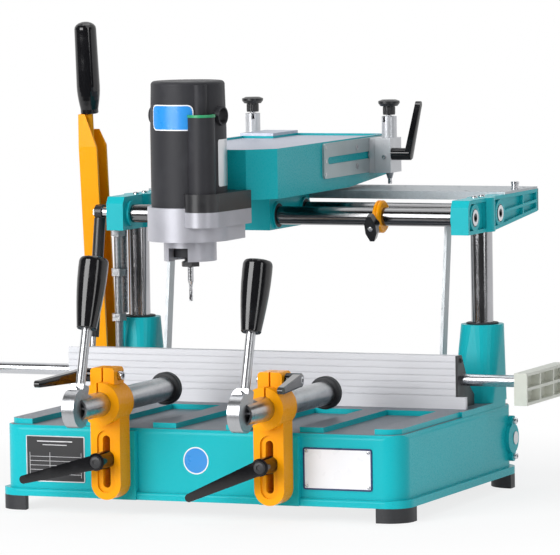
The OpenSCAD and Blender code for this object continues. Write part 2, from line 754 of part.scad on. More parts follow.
module arm_guide_rods() color(chrome) place() for (s = [-1, 1])
  along_y(arm_x + s * rod_pitch / 2, arm_front + 3, arm_rear - 3, arm_rod_z, arm_rod_d);

// Plan of the motor holder: a round front with straight sides back to the arm
module holder_plan(r) {
  translate([arm_x, motor_y]) circle(r);
  translate([arm_x - r, motor_y]) square([2 * r, arm_front + 4 - motor_y]);
}
// Plan of the side clamp round the motor's rib
module clamp_plan(r) {
  translate(rib_at) circle(r);
  polygon([[rib_at[0] + r, rib_at[1]], [arm_x + 67, arm_front], [arm_x + 20, arm_front],
    [arm_x + 20, rib_at[1]], [rib_at[0], rib_at[1]]]);
}
module motor_holder() color(steel) place() difference() {
  union() {
    translate([0, 0, holder_low]) linear_extrude(holder_top - holder_low) holder_plan(holder_r);
    translate([0, 0, clamp_low - 20]) linear_extrude(20) clamp_plan(rib_clamp_r);
    // Neck with a window to the collet
    translate([arm_x, motor_y, neck_low]) cylinder(d = neck_d, h = holder_low - neck_low + 1);
    // Bolting face on the arm
    box(arm_x - 45, arm_x + 45, arm_front - 14, arm_front, holder_top - 1, arm_z + 30);
  }
  translate([arm_x, motor_y, neck_low - 1]) cylinder(d = collar_d + 0.1, h = 100);
  translate([0, 0, holder_top - 8]) linear_extrude(60)
    translate([arm_x, motor_y]) circle(motor_r + 0.01);
  translate([0, 0, clamp_low]) linear_extrude(80) clamp_plan(rib_clamp_r);
  box(arm_x - 18, arm_x + 11, motor_y - 60, motor_y, neck_low - 1, holder_low - 9);
}
module motor_clamp() color(black) place() difference() {
  translate([0, 0, clamp_low]) linear_extrude(clamp_top - clamp_low) clamp_plan(rib_clamp_r);
  translate([arm_x, motor_y, clamp_low - 1]) cylinder(r = motor_r + 0.01, h = 60);
  translate([rib_at[0], rib_at[1], clamp_low + 4]) cylinder(r = rib_r + 0.01, h = 60);
}
module motor_housing() color(grey) place() difference() {
  union() {
    translate([arm_x, motor_y, 0]) {
      translate([0, 0, holder_top - 8]) cylinder(r = motor_r, h = 500 - holder_top + 8);
      translate([0, 0, 500]) cylinder(r1 = motor_r, r2 = motor_r - 1.5, h = motor_top - 508);
      translate([0, 0, motor_top - 8]) rotate_extrude() intersection() {
        translate([0, -8]) square([motor_r - 1.5, 16]);
        union() {
          square([motor_r - 6.5, 8]);
          translate([motor_r - 6.5, 3]) circle(5);
          square([motor_r - 1.5, 3]);
        }
      }
      for (s = [-1, 1]) rotate([0, 0, s > 0 ? -8 : 172]) translate([motor_r - 8, 0, 517])
        rotate([0, 90, 0]) cylinder(d1 = 28, d2 = 25, h = 12);
      // Lower neck that runs down into the collet housing
      translate([0, 0, neck_low + 5]) cylinder(d = collar_d, h = holder_top - neck_low - 5);
    }
    translate([rib_at[0], rib_at[1], clamp_low + 4]) cylinder(r = rib_r, h = rib_top - clamp_low - 4);
    translate([rib_at[0] - 4, rib_at[1] + 5, 500]) cylinder(r = 10, h = motor_top - 504);
  }
  translate([arm_x, motor_y, 300]) cylinder(d = 16 + 2 * run, h = 80);
}
module collet_nut() color(black) place() translate([arm_x, motor_y, 0]) difference() {
  union() {
    translate([0, 0, 317]) cylinder(d = 21, h = 7);
    translate([0, 0, 317]) cylinder(d = 22 / cos(30), h = 6, $fn = 6);
    translate([0, 0, 323]) cylinder(d = 16, h = 50);
  }
  translate([0, 0, 310]) cylinder(d = shank_d + 0.01, h = 50);
}
module cutter() color(steel) place() translate([arm_x, motor_y, 0]) {
  translate([0, 0, 298]) cylinder(d = shank_d, h = 50);
  translate([0, 0, 292.5]) cylinder(d1 = 5, d2 = shank_d, h = 5.5);
  difference() {
    translate([0, 0, 271]) cylinder(d = 5, h = 22);
    for (k = [0 : 5], s = [0, 180]) rotate([0, 0, k * 32 + s])
      translate([0.6, 0.4, 270 + k * 3.3]) cube([4, 4, 3.3]);
  }
}

// Slotted tracer plate of the right side
module tracer_plate_side() difference() {
  side_profile(arm_r, arm_r + tracer_plate_t)
    rbox2(tracer_plate_y, arm_rear - 12, tracer_plate_z, tracer_plate_z + tracer_h, 6);
  side_profile(arm_r - 1, arm_r + tracer_plate_t + 1)
    rbox2(tracer_slot_y, arm_rear - 24, tracer_slot_z - slot_w / 2, tracer_slot_z + slot_w / 2,
      slot_w / 2 - 0.01);
}
module left_side() translate([2 * arm_x, tracer_left_back, 0]) mirror([1, 0, 0]) children();
module tracer_plates() color(galvanised) place() {
  tracer_plate_side();
  left_side() tracer_plate_side();
}
tracer_x = arm_r + tracer_out;
tracer_low = arm_r + tracer_plate_t + gap;
tracer_far = tracer_x + 9.4;
module tracer_block() difference() {
  union() {
    box(tracer_low, tracer_far, tracer_y - 20.5, tracer_y + 20.5, tracer_block_z,
      tracer_block_z + tracer_h);
    translate([tracer_x, tracer_y, tracer_block_z + tracer_h - 1])
      cylinder(d = barrel_d, h = tracer_barrel_top - tracer_block_z - tracer_h + 1);
    // Key in the slot of the plate
    side_profile(arm_r + gap, tracer_low + 1)
      rbox2(tracer_y - 18, tracer_y + 18, tracer_slot_z - slot_w / 2 + run,
        tracer_slot_z + slot_w / 2 - run, slot_w / 2 - 2 * run);
  }
  translate([tracer_x, tracer_y, 400]) cylinder(d = 12 + 2 * run, h = 120);
  // Step beside the plate and the notch of the barrel
  box(tracer_low + 7, tracer_low + 8.5, tracer_y - 21, tracer_y - 19.5, 400, 470);
  box(tracer_x - 6, tracer_x - 2, tracer_y - 12, tracer_y, 488, 500);
  // Hole of the clamping lever
  along_x(tracer_far - 9, tracer_far + 1, tracer_y - tracer_lever_back, tracer_lever_z, 7.2);
}
module tracer_pin() translate([tracer_x, tracer_y, 0]) {
  translate([0, 0, 418]) cylinder(d = 12, h = 74);
  translate([0, 0, 409.5]) cylinder(d1 = 6.5, d2 = 12, h = 8.5);
  translate([0, 0, 402]) cylinder(d = 5.5, h = 8);
  translate([0, 0, 492]) cylinder(d = 7, h = 8);
  translate([0, 0, 498]) cylinder(d = 17, h = 12);
  translate([0, 0, 510]) cylinder(d1 = 24, d2 = 30, h = 4);
  translate([0, 0, 514]) cylinder(d = 30, h = 3);
  translate([0, 0, 517]) cylinder(d1 = 30, d2 = 20, h = 2);
}
module tracer_lever(up) translate([tracer_far + gap, tracer_y - tracer_lever_back, tracer_lever_z])
  rotate([up, 0, 0]) rotate([0, 90, 0]) rotate([0, 0, 180])
    ratchet_lever(8, 17, tracer_lever_hub, tracer_lever_arm, 13, tracer_lever_tip);
module tracer_block_right() color(steel) place() tracer_block();
module tracer_pin_right() color(black) place() tracer_pin();
module tracer_lever_right() color(black) place() tracer_lever(0);
module tracer_block_left() color(steel) place() left_side() tracer_block();
module tracer_pin_left() color(black) place() left_side() tracer_pin();
module tracer_lever_left() color(black) place() left_side() tracer_lever(-tracer_left_turn);

// Gas spring: the rod stands on the lower stud, the cylinder hangs on the upper one
module gas_frame() translate([gas_x, gas_foot[0], gas_foot[1]]) rotate([-gas_lean, 0, 0]) children();
module gas_eye(bore) difference() {
  translate([-5, 0, 0]) rotate([0, 90, 0]) cylinder(d = 21, h = 10);
  translate([-6, 0, 0]) rotate([0, 90, 0]) cylinder(d = bore, h = 12);
}
module gas_rod() color(chrome) place() gas_frame() {
  gas_eye(gas_stud_d + 2 * run);
  translate([0, 0, 10]) cylinder(d = gas_rod_d, h = 150);
}
module gas_cylinder() color(black) place() gas_frame() {
  difference() {
    translate([0, 0, gas_body_low]) cylinder(d = gas_d, h = gas_len - 9 - gas_body_low);
    translate([0, 0, gas_body_low - 1]) cylinder(d = gas_rod_d + 2 * run, h = 3);
    translate([0, 0, gas_body_low + 2]) cylinder(d = gas_d - 3, h = gas_len - 16 - gas_body_low);
  }
  translate([0, 0, gas_len]) gas_eye(gas_stud_d + 2 * gas_eye_clear);
}

// Outline of a clamp bracket in X and Z
module clamp_outline() {
  translate([0, 22 + clamp_w / 2]) circle(d = clamp_w);
  translate([-clamp_w / 2, 22 + clamp_w / 2]) square([clamp_w, clamp_z - 22 - clamp_w / 2]);
  translate([0, clamp_z]) circle(collar_r);
  rbox2(ear_off - ear_w / 2, ear_off + ear_w / 2, clamp_z, ear_top, 5);
}
module slot_outline(w) {
  translate([-w / 2, 43]) square([w, 58]);
  for (z = [43, 101]) translate([0, z]) circle(d = w);
}
module clamp_bracket() difference() {
  union() {
    front_profile(clamp_face, clamp_back) clamp_outline();
    along_y(0, clamp_face - 16, clamp_face + 1, clamp_z, 2 * collar_r);
  }
  along_y(0, clamp_face - 20, 5, clamp_z, tube_d + 2 * run);
  front_profile(clamp_face - 20, 5) translate([ear_off - 1, clamp_z]) square([2.4, 60]);
  front_profile(clamp_face - 1, 5) slot_outline(adjust_w);
  front_profile(clamp_face - 1, clamp_face + 3) slot_outline(24);
  along_x(-40, 40, ear_bolt_y, ear_bolt_z, 8.6);
  along_x(ear_off + ear_w / 2 - 3, 40, ear_bolt_y, ear_bolt_z, 13);
}
// Ratchet lever of the height adjustment, on a stud in the base
module height_lever(swing) translate([0, clamp_face + 3 - gap, stud_z])
  rotate([90, 0, 0]) rotate([0, 0, swing]) {
    translate([0, 0, -clamp_t - 25]) cylinder(d = stud_d, h = clamp_t + 26);
    cylinder(d = 23.4, h = 33);
    translate([0, 0, 22]) hull() {
      cylinder(d = 20, h = 11, $fn = 32);
      translate([108, 0, 5]) cylinder(d = 11, h = 7, $fn = 32);
    }
  }
// Ratchet lever of the split collar, on a bolt through the ear
module collar_lever() {
  x0 = ear_off - ear_w / 2 - gap;
  along_x(x0 - 2, ear_off + ear_w / 2 - 1, ear_bolt_y, ear_bolt_z, 8);
  along_x(x0 - 20, x0, ear_bolt_y, ear_bolt_z, 18);
  hull() {
    along_x(x0 - 20, x0 - 10, ear_bolt_y, ear_bolt_z, 17, $fn = 32);
    translate([x0 - 38, ear_bolt_y - 102, ear_bolt_z - 3]) rotate([0, 90, 0])
      cylinder(d = 9, h = 7, $fn = 32);
  }
}
// Clamp tube, slotted at the front for the cam disc, with the cross pin of the disc
module clamp_tube() {
  difference() {
    along_y(0, tube_front, tube_end, clamp_z, tube_d);
    along_y(0, tube_front - 1, fork_end + 1, clamp_z, tube_d - 6);
    along_y(0, fork_end, tube_end + 1, clamp_z, plunger_d + 2 * run);
    box(-cam_t / 2 - gap, cam_t / 2 + gap, tube_front - 1, fork_end, clamp_z - tube_d,
      clamp_z + tube_d);
  }
  along_x(-tube_d / 2 + 0.5, tube_d / 2 - 0.5, cam_y, cam_z, cam_pin_d);
}
// Plunger that the cam disc pushes, with the rubber pad on its rear end
module clamp_pad() {
  along_y(0, plunger_front, tube_end + 1, clamp_z, plunger_d);
  translate([0, tube_end + gap, clamp_z]) rotate([-90, 0, 0]) rotate_extrude() {
    square([pad_d / 2 - 3, 12.7]);
    translate([0, 3]) square([pad_d / 2, 6.7]);
    for (z = [3, 9.7]) translate([pad_d / 2 - 3, z]) circle(3);
  }
}
module cam_frame() translate([0, cam_y, cam_z]) rotate([-cam_lean, 0, 0]) children();
// Cam disc, whose middle lies in front of its pin at rest, with the block of the lever rod
module cam_hub() {
  side_profile(-cam_t / 2, cam_t / 2) difference() {
    union() {
      translate([cam_y - cam_e, cam_z]) circle(cam_r);
      translate([cam_y, cam_z]) rotate(-cam_lean) translate([-9, 10]) square([18, 20]);
    }
    translate([cam_y, cam_z]) circle(d = cam_pin_d + 2 * run);
  }
  cam_frame() {
    translate([0, 0, 29]) cylinder(d = 12.5, h = 100);
    // Bolt that holds the rod
    along_y(-3, -12, -8, 20, 15);
    translate([-3, -11, 20]) rotate([90, 0, 0]) cylinder(d = 13 / cos(30), h = 7, $fn = 6);
  }
}
module cam_grip() cam_frame() translate([0, 0, 104]) difference() {
  rotate_extrude() polygon(concat([[0, 0], [12, 0], [13.2, 1.5]],
    [for (t = [0 : 0.2 : 1]) [13.2 + 6.3 * sin(90 * t), 3 + 77 * t]],
    [for (a = [18 : 18 : 90]) [15.5 + 4 * cos(a), 86 + 8 * sin(a)]], [[0, 94]]));
  translate([0, 0, -1]) cylinder(d = 12.52, h = 26.1);
}
// Puts a clamp piece on its side of the machine, the right one mirrored
module clamp_side(s) place() translate([s * clamp_x, 0, 0]) mirror([s > 0 ? 1 : 0, 0, 0]) children();
module clamp_bracket_left() color(yellow) clamp_side(-1) clamp_bracket();
module clamp_bracket_right() color(yellow) clamp_side(1) clamp_bracket();
module height_lever_left() color(black) clamp_side(-1) height_lever(194);
module height_lever_right() color(black) clamp_side(1) height_lever(-23);
module collar_lever_left() color(black) clamp_side(-1) collar_lever();
module collar_lever_right() color(black) clamp_side(1) collar_lever();
module clamp_tube_left() color(steel) clamp_side(-1) clamp_tube();
module clamp_tube_right() color(steel) clamp_side(1) clamp_tube();
module clamp_pad_left() color(black) clamp_side(-1) clamp_pad();
module clamp_pad_right() color(black) clamp_side(1) clamp_pad();
module cam_hub_left() color(steel) clamp_side(-1) cam_hub();
module cam_hub_right() color(steel) place() translate([clamp_x, 0, 0]) cam_hub();
module cam_grip_left() color(black) clamp_side(-1) cam_grip();
module cam_grip_right() color(black) clamp_side(1) cam_grip();

// Profile stops: a rod in the fence with a ribbed plastic block at its end
stop_y = fence_y + stop_back;
stop_lap = 13;
stop_wall = 4;
stop_pocket = 12;
module stop_rod_left() color(steel) place()
  along_x(stop_block_l + stop_t, fence_x + 60, stop_y, stop_z, stop_d);
module stop_rod_right() color(steel) place()
  along_x(fence_x + fence_len - 60, stop_block_r - stop_t, stop_y, stop_z, stop_d);
// Ribbed end stop; the left one reaches forward from its rod and the right one rearward
module stop_block(x0, pocket_side) {
  y0 = pocket_side > 0 ? stop_y - stop_lap : stop_y + stop_lap - stop_len;
  z0 = stop_z + stop_lap - 1.5 - stop_h;
  cell_y = (stop_len - stop_wall) / 3;
  cell_z = (stop_h - stop_wall) / 2;
  difference() {
    box(x0, x0 + stop_t, y0, y0 + stop_len, z0, z0 + stop_h);
    for (i = [0 : 2], j = [0, 1])
      box(pocket_side > 0 ? x0 + stop_t - stop_pocket : x0 - 1,
        pocket_side > 0 ? x0 + stop_t + 1 : x0 + stop_pocket,
        y0 + stop_wall + i * cell_y, y0 + (i + 1) * cell_y,
        z0 + stop_wall + j * cell_z, z0 + (j + 1) * cell_z);
  }
}
module stop_block_left() color(beige) place() stop_block(stop_block_l, -1);
module stop_block_right() color(beige) place() stop_block(stop_block_r - stop_t, 1);

base_casting();
rubber_feet();
column_sockets();
fence_profile();
fence_end_caps();
depth_scale();
shaft_bearings();
gas_stud_lower();
crank_shaft();
plunge_lever();
lever_grip();
columns();
head_bracket_left();
head_bracket_right();
guide_bars();
template_plate();
bracket_end_caps();
depth_rod();
link_bars();
gas_stud_upper();
stop_ring();
stop_ring_knob();
carriage();
carriage_slider();
arm_casting();
arm_guide_rods();
motor_holder();
motor_clamp();
motor_housing();
tracer_plates();
collet_nut();
cutter();
tracer_block_right();
tracer_lever_right();
tracer_pin_right();
tracer_block_left();
tracer_lever_left();
tracer_pin_left();
gas_cylinder();
gas_rod();
clamp_bracket_left();
height_lever_left();
collar_lever_left();
clamp_tube_left();
clamp_pad_left();
cam_hub_left();
cam_grip_left();
clamp_bracket_right();
height_lever_right();
collar_lever_right();
clamp_tube_right();
clamp_pad_right();
cam_hub_right();
cam_grip_right();
stop_rod_left();
stop_block_left();
stop_rod_right();
stop_block_right();
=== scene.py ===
"""Looks of a duplicating router: paints, metals, small fittings, studio and camera."""
import logging
import math
from dataclasses import dataclass
from enum import Enum

import bmesh
import bpy
import numpy as np
from mathutils import Matrix


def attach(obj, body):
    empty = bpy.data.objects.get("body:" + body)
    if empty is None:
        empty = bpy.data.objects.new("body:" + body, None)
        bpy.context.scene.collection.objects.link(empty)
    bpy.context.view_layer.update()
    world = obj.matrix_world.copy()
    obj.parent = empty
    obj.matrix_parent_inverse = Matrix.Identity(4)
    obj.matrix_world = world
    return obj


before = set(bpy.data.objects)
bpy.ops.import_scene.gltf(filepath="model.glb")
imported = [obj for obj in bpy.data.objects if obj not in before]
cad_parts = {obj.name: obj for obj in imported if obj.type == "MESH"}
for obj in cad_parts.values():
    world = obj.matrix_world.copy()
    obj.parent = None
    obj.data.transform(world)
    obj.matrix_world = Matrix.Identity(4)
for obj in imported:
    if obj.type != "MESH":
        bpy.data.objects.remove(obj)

LOG = logging.getLogger("duplicating_router")
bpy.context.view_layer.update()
ORIGIN = np.array([-53.5, 258.1279, 0.0])
RGB = tuple[float, float, float]

# Machine frame, millimetres: middle of the arm, the two guide bars, and how far the left
# tracer stands behind the right one
ARM_X = -58.0
BARS_Y = (332.0, 429.0)
BAR_Z = 371.0
TRACER_LEFT_BACK = 68.0

TEAL = (0.010, 0.44, 0.49)
DEEP_TEAL = (0.006, 0.37, 0.42)
PAINT_SHINE = 0.14


class Slot(Enum):
    """Material slots of the record."""

    TEAL = "teal_paint"
    RUBBER = "rubber"
    PLASTIC = "black_plastic"
    STEEL = "bright_steel"
    ZINC = "galvanised"
    BLACK = "black_metal"
    MOTOR = "motor_grey"


class Along(Enum):
    """Direction in which a shape points: where its own X, Y and Z axes go."""

    X = ((0, 1, 0), (0, 0, 1), (1, 0, 0))
    NX = ((0, -1, 0), (0, 0, 1), (-1, 0, 0))
    NY = ((1, 0, 0), (0, 0, 1), (0, -1, 0))
    Z = ((1, 0, 0), (0, 1, 0), (0, 0, 1))


class Val:
    """A shader value. Arithmetic on it adds the Math nodes that do the sum."""

    def __init__(self, net: "Net", socket: bpy.types.NodeSocket) -> None:
        """Keeps the net and the socket."""
        self.net, self.socket = net, socket

    def math(self, operation: str, *others: "Val | float") -> "Val":
        """Adds one Math node.

        Args:
            operation: name of the Math operation.
            others: further operands, values or numbers.

        Returns:
            The result as a value.
        """
        operands = dict(enumerate((self, *others)))
        return self.net.node("ShaderNodeMath", {"operation": operation}, operands)

    def __add__(self, other: "Val | float") -> "Val":
        """Sum."""
        return self.math("ADD", other)

    def __sub__(self, other: "Val | float") -> "Val":
        """Difference."""
        return self.math("SUBTRACT", other)

    def __rsub__(self, other: "Val | float") -> "Val":
        """Difference from a number."""
        return self.net.node("ShaderNodeMath", {"operation": "SUBTRACT"}, {0: other, 1: self})

    def __mul__(self, other: "Val | float") -> "Val":
        """Product."""
        return self.math("MULTIPLY", other)

    def __gt__(self, other: "Val | float") -> "Val":
        """1 where this value is greater, otherwise 0."""
        return self.math("GREATER_THAN", other)

    __radd__, __rmul__ = __add__, __mul__

    def ramp(self, low: float, high: float, start: float = 0.0, end: float = 1.0) -> "Val":
        """Runs smoothly from start to end while this value runs from low to high."""
        inputs = {"Value": self, "From Min": low, "From Max": high, "To Min": start, "To Max": end}
        return self.net.node("ShaderNodeMapRange", {"interpolation_type": "SMOOTHSTEP"}, inputs)


class Net:
    """The node tree of one material, with a Principled shader at its end."""

    def __init__(self, name: str) -> None:
        """Makes the material and its shader.

        Args:
            name: name of the material.
        """
        self.material = bpy.data.materials.new(name)
        self.material.use_nodes = True
        self.tree = self.material.node_tree
        self.tree.nodes.clear()
        self.shader = self.tree.nodes.new("ShaderNodeBsdfPrincipled")
        end = self.tree.nodes.new("ShaderNodeOutputMaterial")
        self.tree.links.new(self.shader.outputs[0], end.inputs[0])
        self.place = self.node("ShaderNodeTexCoord", {}, {}, "Object")
        self.x, self.y, self.z = self.split(self.place)

    def split(self, place: Val) -> tuple[Val, ...]:
        """Gives the three parts of a vector."""
        return tuple(self.node("ShaderNodeSeparateXYZ", {}, {0: place}, axis) for axis in "XYZ")

    def node(self, kind: str, settings: dict, inputs: dict, out: str | int = 0) -> Val:
        """Adds a node.

        Args:
            kind: node type.
            settings: attributes, set before the inputs.
            inputs: values or links by socket name or number.
            out: name or number of the output that is wanted.

        Returns:
            That output as a value.
        """
        made = self.tree.nodes.new(kind)
        for key, value in settings.items():
            setattr(made, key, value)
        for key, value in inputs.items():
            if isinstance(value, Val):
                self.tree.links.new(value.socket, made.inputs[key])
            else:
                made.inputs[key].default_value = value
        return Val(self, made.outputs[out])

    def noise(self, scale: float, detail: float = 2.0, stretch: RGB | None = None) -> Val:
        """Noise on Object coordinates.

        Args:
            scale: waves to the metre.
            detail: number of finer octaves.
            stretch: factors on the axes, where a small one draws the noise out.

        Returns:
            The noise as a value of about 0 to 1.
        """
        where = self.place
        if stretch:
            where = self.node("ShaderNodeMapping", {}, {"Vector": where, "Scale": stretch})
        inputs = {"Vector": where, "Scale": scale, "Detail": detail}
        return self.node("ShaderNodeTexNoise", {}, inputs)

    def cells(self, scale: float) -> Val:
        """Random colours of Voronoi cells of the given scale per metre."""
        inputs = {"Vector": self.place, "Scale": scale}
        return self.node("ShaderNodeTexVoronoi", {}, inputs, "Color")

    def facing(self, axis: str) -> Val:
        """Part of the surface direction along one axis of the part."""
        normal = self.node("ShaderNodeTexCoord", {}, {}, "Normal")
        return self.node("ShaderNodeSeparateXYZ", {}, {0: normal}, axis)

    def blend(self, share: "Val | float", first: "Val | RGB", second: "Val | RGB") -> Val:
        """Mix of two colours, share 0 for the first and 1 for the second."""
        a, b = (c if isinstance(c, Val) else (*c, 1.0) for c in (first, second))
        return self.node("ShaderNodeMix", {"data_type": "RGBA"}, {0: share, 6: a, 7: b}, 2)

    def relief(self, height: Val, depth: float) -> Val:
        """Bump from a height of 0 to 1 that stands for the given depth in metres."""
        inputs = {"Height": height, "Distance": depth, "Strength": 1.0}
        return self.node("ShaderNodeBump", {}, inputs, "Normal")

    def feed(self, **inputs: "Val | float | RGB") -> bpy.types.Material:
        """Sets the shader's sockets.

        Args:
            inputs: values, colours or links by socket name, with _ for a space.

        Returns:
            The finished material.
        """
        for key, value in inputs.items():
            socket = self.shader.inputs[key.replace("_", " ")]
            if isinstance(value, Val):
                self.tree.links.new(value.socket, socket)
            elif isinstance(value, tuple):
                socket.default_value = (*value, 1.0)
            else:
                socket.default_value = value
        return self.material


class SkyNet(Net):
    """The node tree of the world."""

    def __init__(self, name: str) -> None:
        """Makes the world with an empty tree, and splits the direction of each ray.

        Args:
            name: name of the world.
        """
        self.world = bpy.data.worlds.new(name)
        self.world.use_nodes = True
        self.tree = self.world.node_tree
        self.tree.nodes.clear()
        self.place = self.node("ShaderNodeTexCoord", {}, {}, "Generated")
        self.x, self.y, self.z = self.split(self.place)


def shaded(colour: RGB, share: float) -> RGB:
    """A colour with each part multiplied by a share."""
    return tuple(share * part for part in colour)


@dataclass(frozen=True)
class Enamel:
    """Sprayed enamel with a fine structure, on castings and folded sheet."""

    name: str
    colour: RGB
    deep: RGB
    grain: float = 1000.0
    depth: float = 0.00004
    gloss: float = 0.30

    def make(self) -> bpy.types.Material:
        """Builds the paint: a base tint with soft cloudiness and a pebbled skin.

        Returns:
            The material.
        """
        net = Net(self.name)
        cloud = net.noise(9.0, 3.0).ramp(0.3, 0.7)
        pebble = net.noise(self.grain, 2.0)
        tint = net.blend(cloud * 0.3 + pebble * 0.15 + 0.45, self.deep, self.colour)
        rough = pebble.ramp(0.3, 0.7, self.gloss - 0.05, self.gloss + 0.1)
        return net.feed(
            Base_Color=tint, Roughness=rough, Specular_IOR_Level=PAINT_SHINE,
            Normal=net.relief(pebble, self.depth),
        )


@dataclass(frozen=True)
class CastingPaint:
    """Teal structured enamel, milled bare on upward faces, and everywhere above a height."""

    name: str
    milled_above: float
    milled: RGB
    grain: float = 1000.0
    depth: float = 0.00004
    bare_above: float = 9.0

    def make(self) -> bpy.types.Material:
        """Builds the paint and the milled faces with their crossing cutter marks.

        Returns:
            The material.
        """
        net = Net(self.name)
        cloud = net.noise(7.0, 3.0).ramp(0.3, 0.7)
        pebble = net.noise(self.grain, 2.0)
        paint = net.blend(cloud * 0.3 + pebble * 0.15 + 0.45, DEEP_TEAL, TEAL)
        bare = (net.facing("Z") > 0.9) * (net.z > self.milled_above)
        bare = bare.math("MAXIMUM", net.z > self.bare_above)
        marks = net.noise(60.0, 2.0, (1.0, 14.0, 1.0))
        metal = net.blend(marks.ramp(0.3, 0.7), shaded(self.milled, 0.82), self.milled)
        heights = {0: bare, 2: pebble, 3: marks * 0.25}
        skin = net.node("ShaderNodeMix", {"data_type": "FLOAT"}, heights)
        return net.feed(
            Base_Color=net.blend(bare, paint, metal),
            Roughness=bare * 0.14 + pebble.ramp(0.3, 0.7, 0.24, 0.36),
            Metallic=bare * 0.4,
            Specular_IOR_Level=PAINT_SHINE,
            Normal=net.relief(skin, self.depth),
        )


@dataclass(frozen=True)
class BareMetal:
    """Turned, ground or brushed metal with its grain along one axis."""

    name: str
    colour: RGB
    rough: float
    stretch: RGB = (1.0, 1.0, 1.0)
    grain: float = 900.0
    metallic: float = 1.0
    depth: float = 0.00002

    def make(self) -> bpy.types.Material:
        """Builds the metal: fine grain in tint, roughness and relief, and soft smears.

        Returns:
            The material.
        """
        net = Net(self.name)
        fine = net.noise(self.grain, 2.0, self.stretch)
        smear = net.noise(22.0, 3.0).ramp(0.35, 0.7)
        tint = net.blend(fine * 0.5 + smear * 0.3, shaded(self.colour, 0.72), self.colour)
        rough = fine.ramp(0.2, 0.8, self.rough * 0.75, self.rough * 1.25) + smear * 0.04
        return net.feed(
            Base_Color=tint, Roughness=rough, Metallic=self.metallic,
            Normal=net.relief(fine, self.depth),
        )


@dataclass(frozen=True)
class ZincSheet:
    """Galvanised sheet with its patchwork of crystals."""

    name: str
    colour: RGB

    def make(self) -> bpy.types.Material:
        """Builds the sheet: crystals a few millimetres across, each of its own shade.

        Returns:
            The material.
        """
        net = Net(self.name)
        crystal = net.cells(300.0)
        shade = net.node("ShaderNodeSeparateColor", {}, {0: crystal}, 0)
        fine = net.noise(700.0)
        tint = net.blend(shade * 0.6 + fine * 0.2, shaded(self.colour, 0.78), self.colour)
        return net.feed(
            Base_Color=tint, Roughness=shade.ramp(0.0, 1.0, 0.34, 0.48), Metallic=0.45,
            Normal=net.relief(fine, 0.00002),
        )


@dataclass(frozen=True)
class Moulded:
    """Moulded plastic or rubber with a fine spark-eroded texture."""

    name: str
    colour: RGB
    rough: float
    depth: float = 0.00006
    grain: float = 1500.0
    specular: float = 0.5

    def make(self) -> bpy.types.Material:
        """Builds the moulding: even tint, pin-fine texture and faint handling marks.

        Returns:
            The material.
        """
        net = Net(self.name)
        skin = net.noise(self.grain, 1.0)
        worn = net.noise(30.0, 4.0).ramp(0.45, 0.75)
        handled = tuple(min(1.0, part * 1.35 + 0.004) for part in self.colour)
        rough = worn.ramp(0.0, 1.0, self.rough - 0.05, self.rough + 0.07)
        return net.feed(
            Base_Color=net.blend(worn * 0.5, self.colour, handled), Roughness=rough,
            Specular_IOR_Level=self.specular, Normal=net.relief(skin, self.depth),
        )


@dataclass(frozen=True)
class Threaded:
    """Steel rod with a metric thread below the nuts."""

    name: str
    axis_x: float
    axis_y: float
    pitch: float = 0.00175

    def make(self) -> bpy.types.Material:
        """Builds the thread: height plus turn over the pitch, folded into ridges.

        Returns:
            The material.
        """
        net = Net(self.name)
        turn = (net.y - self.axis_y).math("ARCTAN2", net.x - self.axis_x) * (1 / math.tau)
        ridge = (net.z * (1 / self.pitch) + turn).math("PINGPONG", 0.5) * 2.0
        # Tint runs from dark in the thread's grooves to light on its crests: painted shade in the
        # grooves
        tint = net.blend(ridge, (0.20, 0.20, 0.21), (0.62, 0.63, 0.65))
        return net.feed(
            Base_Color=tint, Roughness=0.34, Metallic=1.0, Normal=net.relief(ridge, 0.0004)
        )


@dataclass(frozen=True)
class Extrusion:
    """Satin anodised extrusion, with die lines along X."""

    name: str
    colour: RGB

    def make(self) -> bpy.types.Material:
        """Builds the extrusion: long fine lines and a slight cloud.

        Returns:
            The material.
        """
        net = Net(self.name)
        lines = net.noise(500.0, 2.0, (0.02, 1.0, 1.0))
        cloud = net.noise(6.0, 2.0)
        tint = net.blend(lines * 0.5 + cloud * 0.4, shaded(self.colour, 0.8), self.colour)
        return net.feed(
            Base_Color=tint, Roughness=lines.ramp(0.2, 0.8, 0.40, 0.52), Metallic=0.12,
            Normal=net.relief(lines, 0.00003),
        )


@dataclass(frozen=True)
class PlainTint:
    """Even printed or painted tint with a faint unevenness."""

    name: str
    colour: RGB
    rough: float = 0.35
    metallic: float = 0.0

    def make(self) -> bpy.types.Material:
        """Builds the tint.

        Returns:
            The material.
        """
        net = Net(self.name)
        cloud = net.noise(60.0, 2.0)
        tint = net.blend(cloud * 0.5, self.colour, shaded(self.colour, 0.94))
        return net.feed(
            Base_Color=tint, Metallic=self.metallic,
            Roughness=cloud.ramp(0.3, 0.7, self.rough - 0.04, self.rough + 0.04),
        )


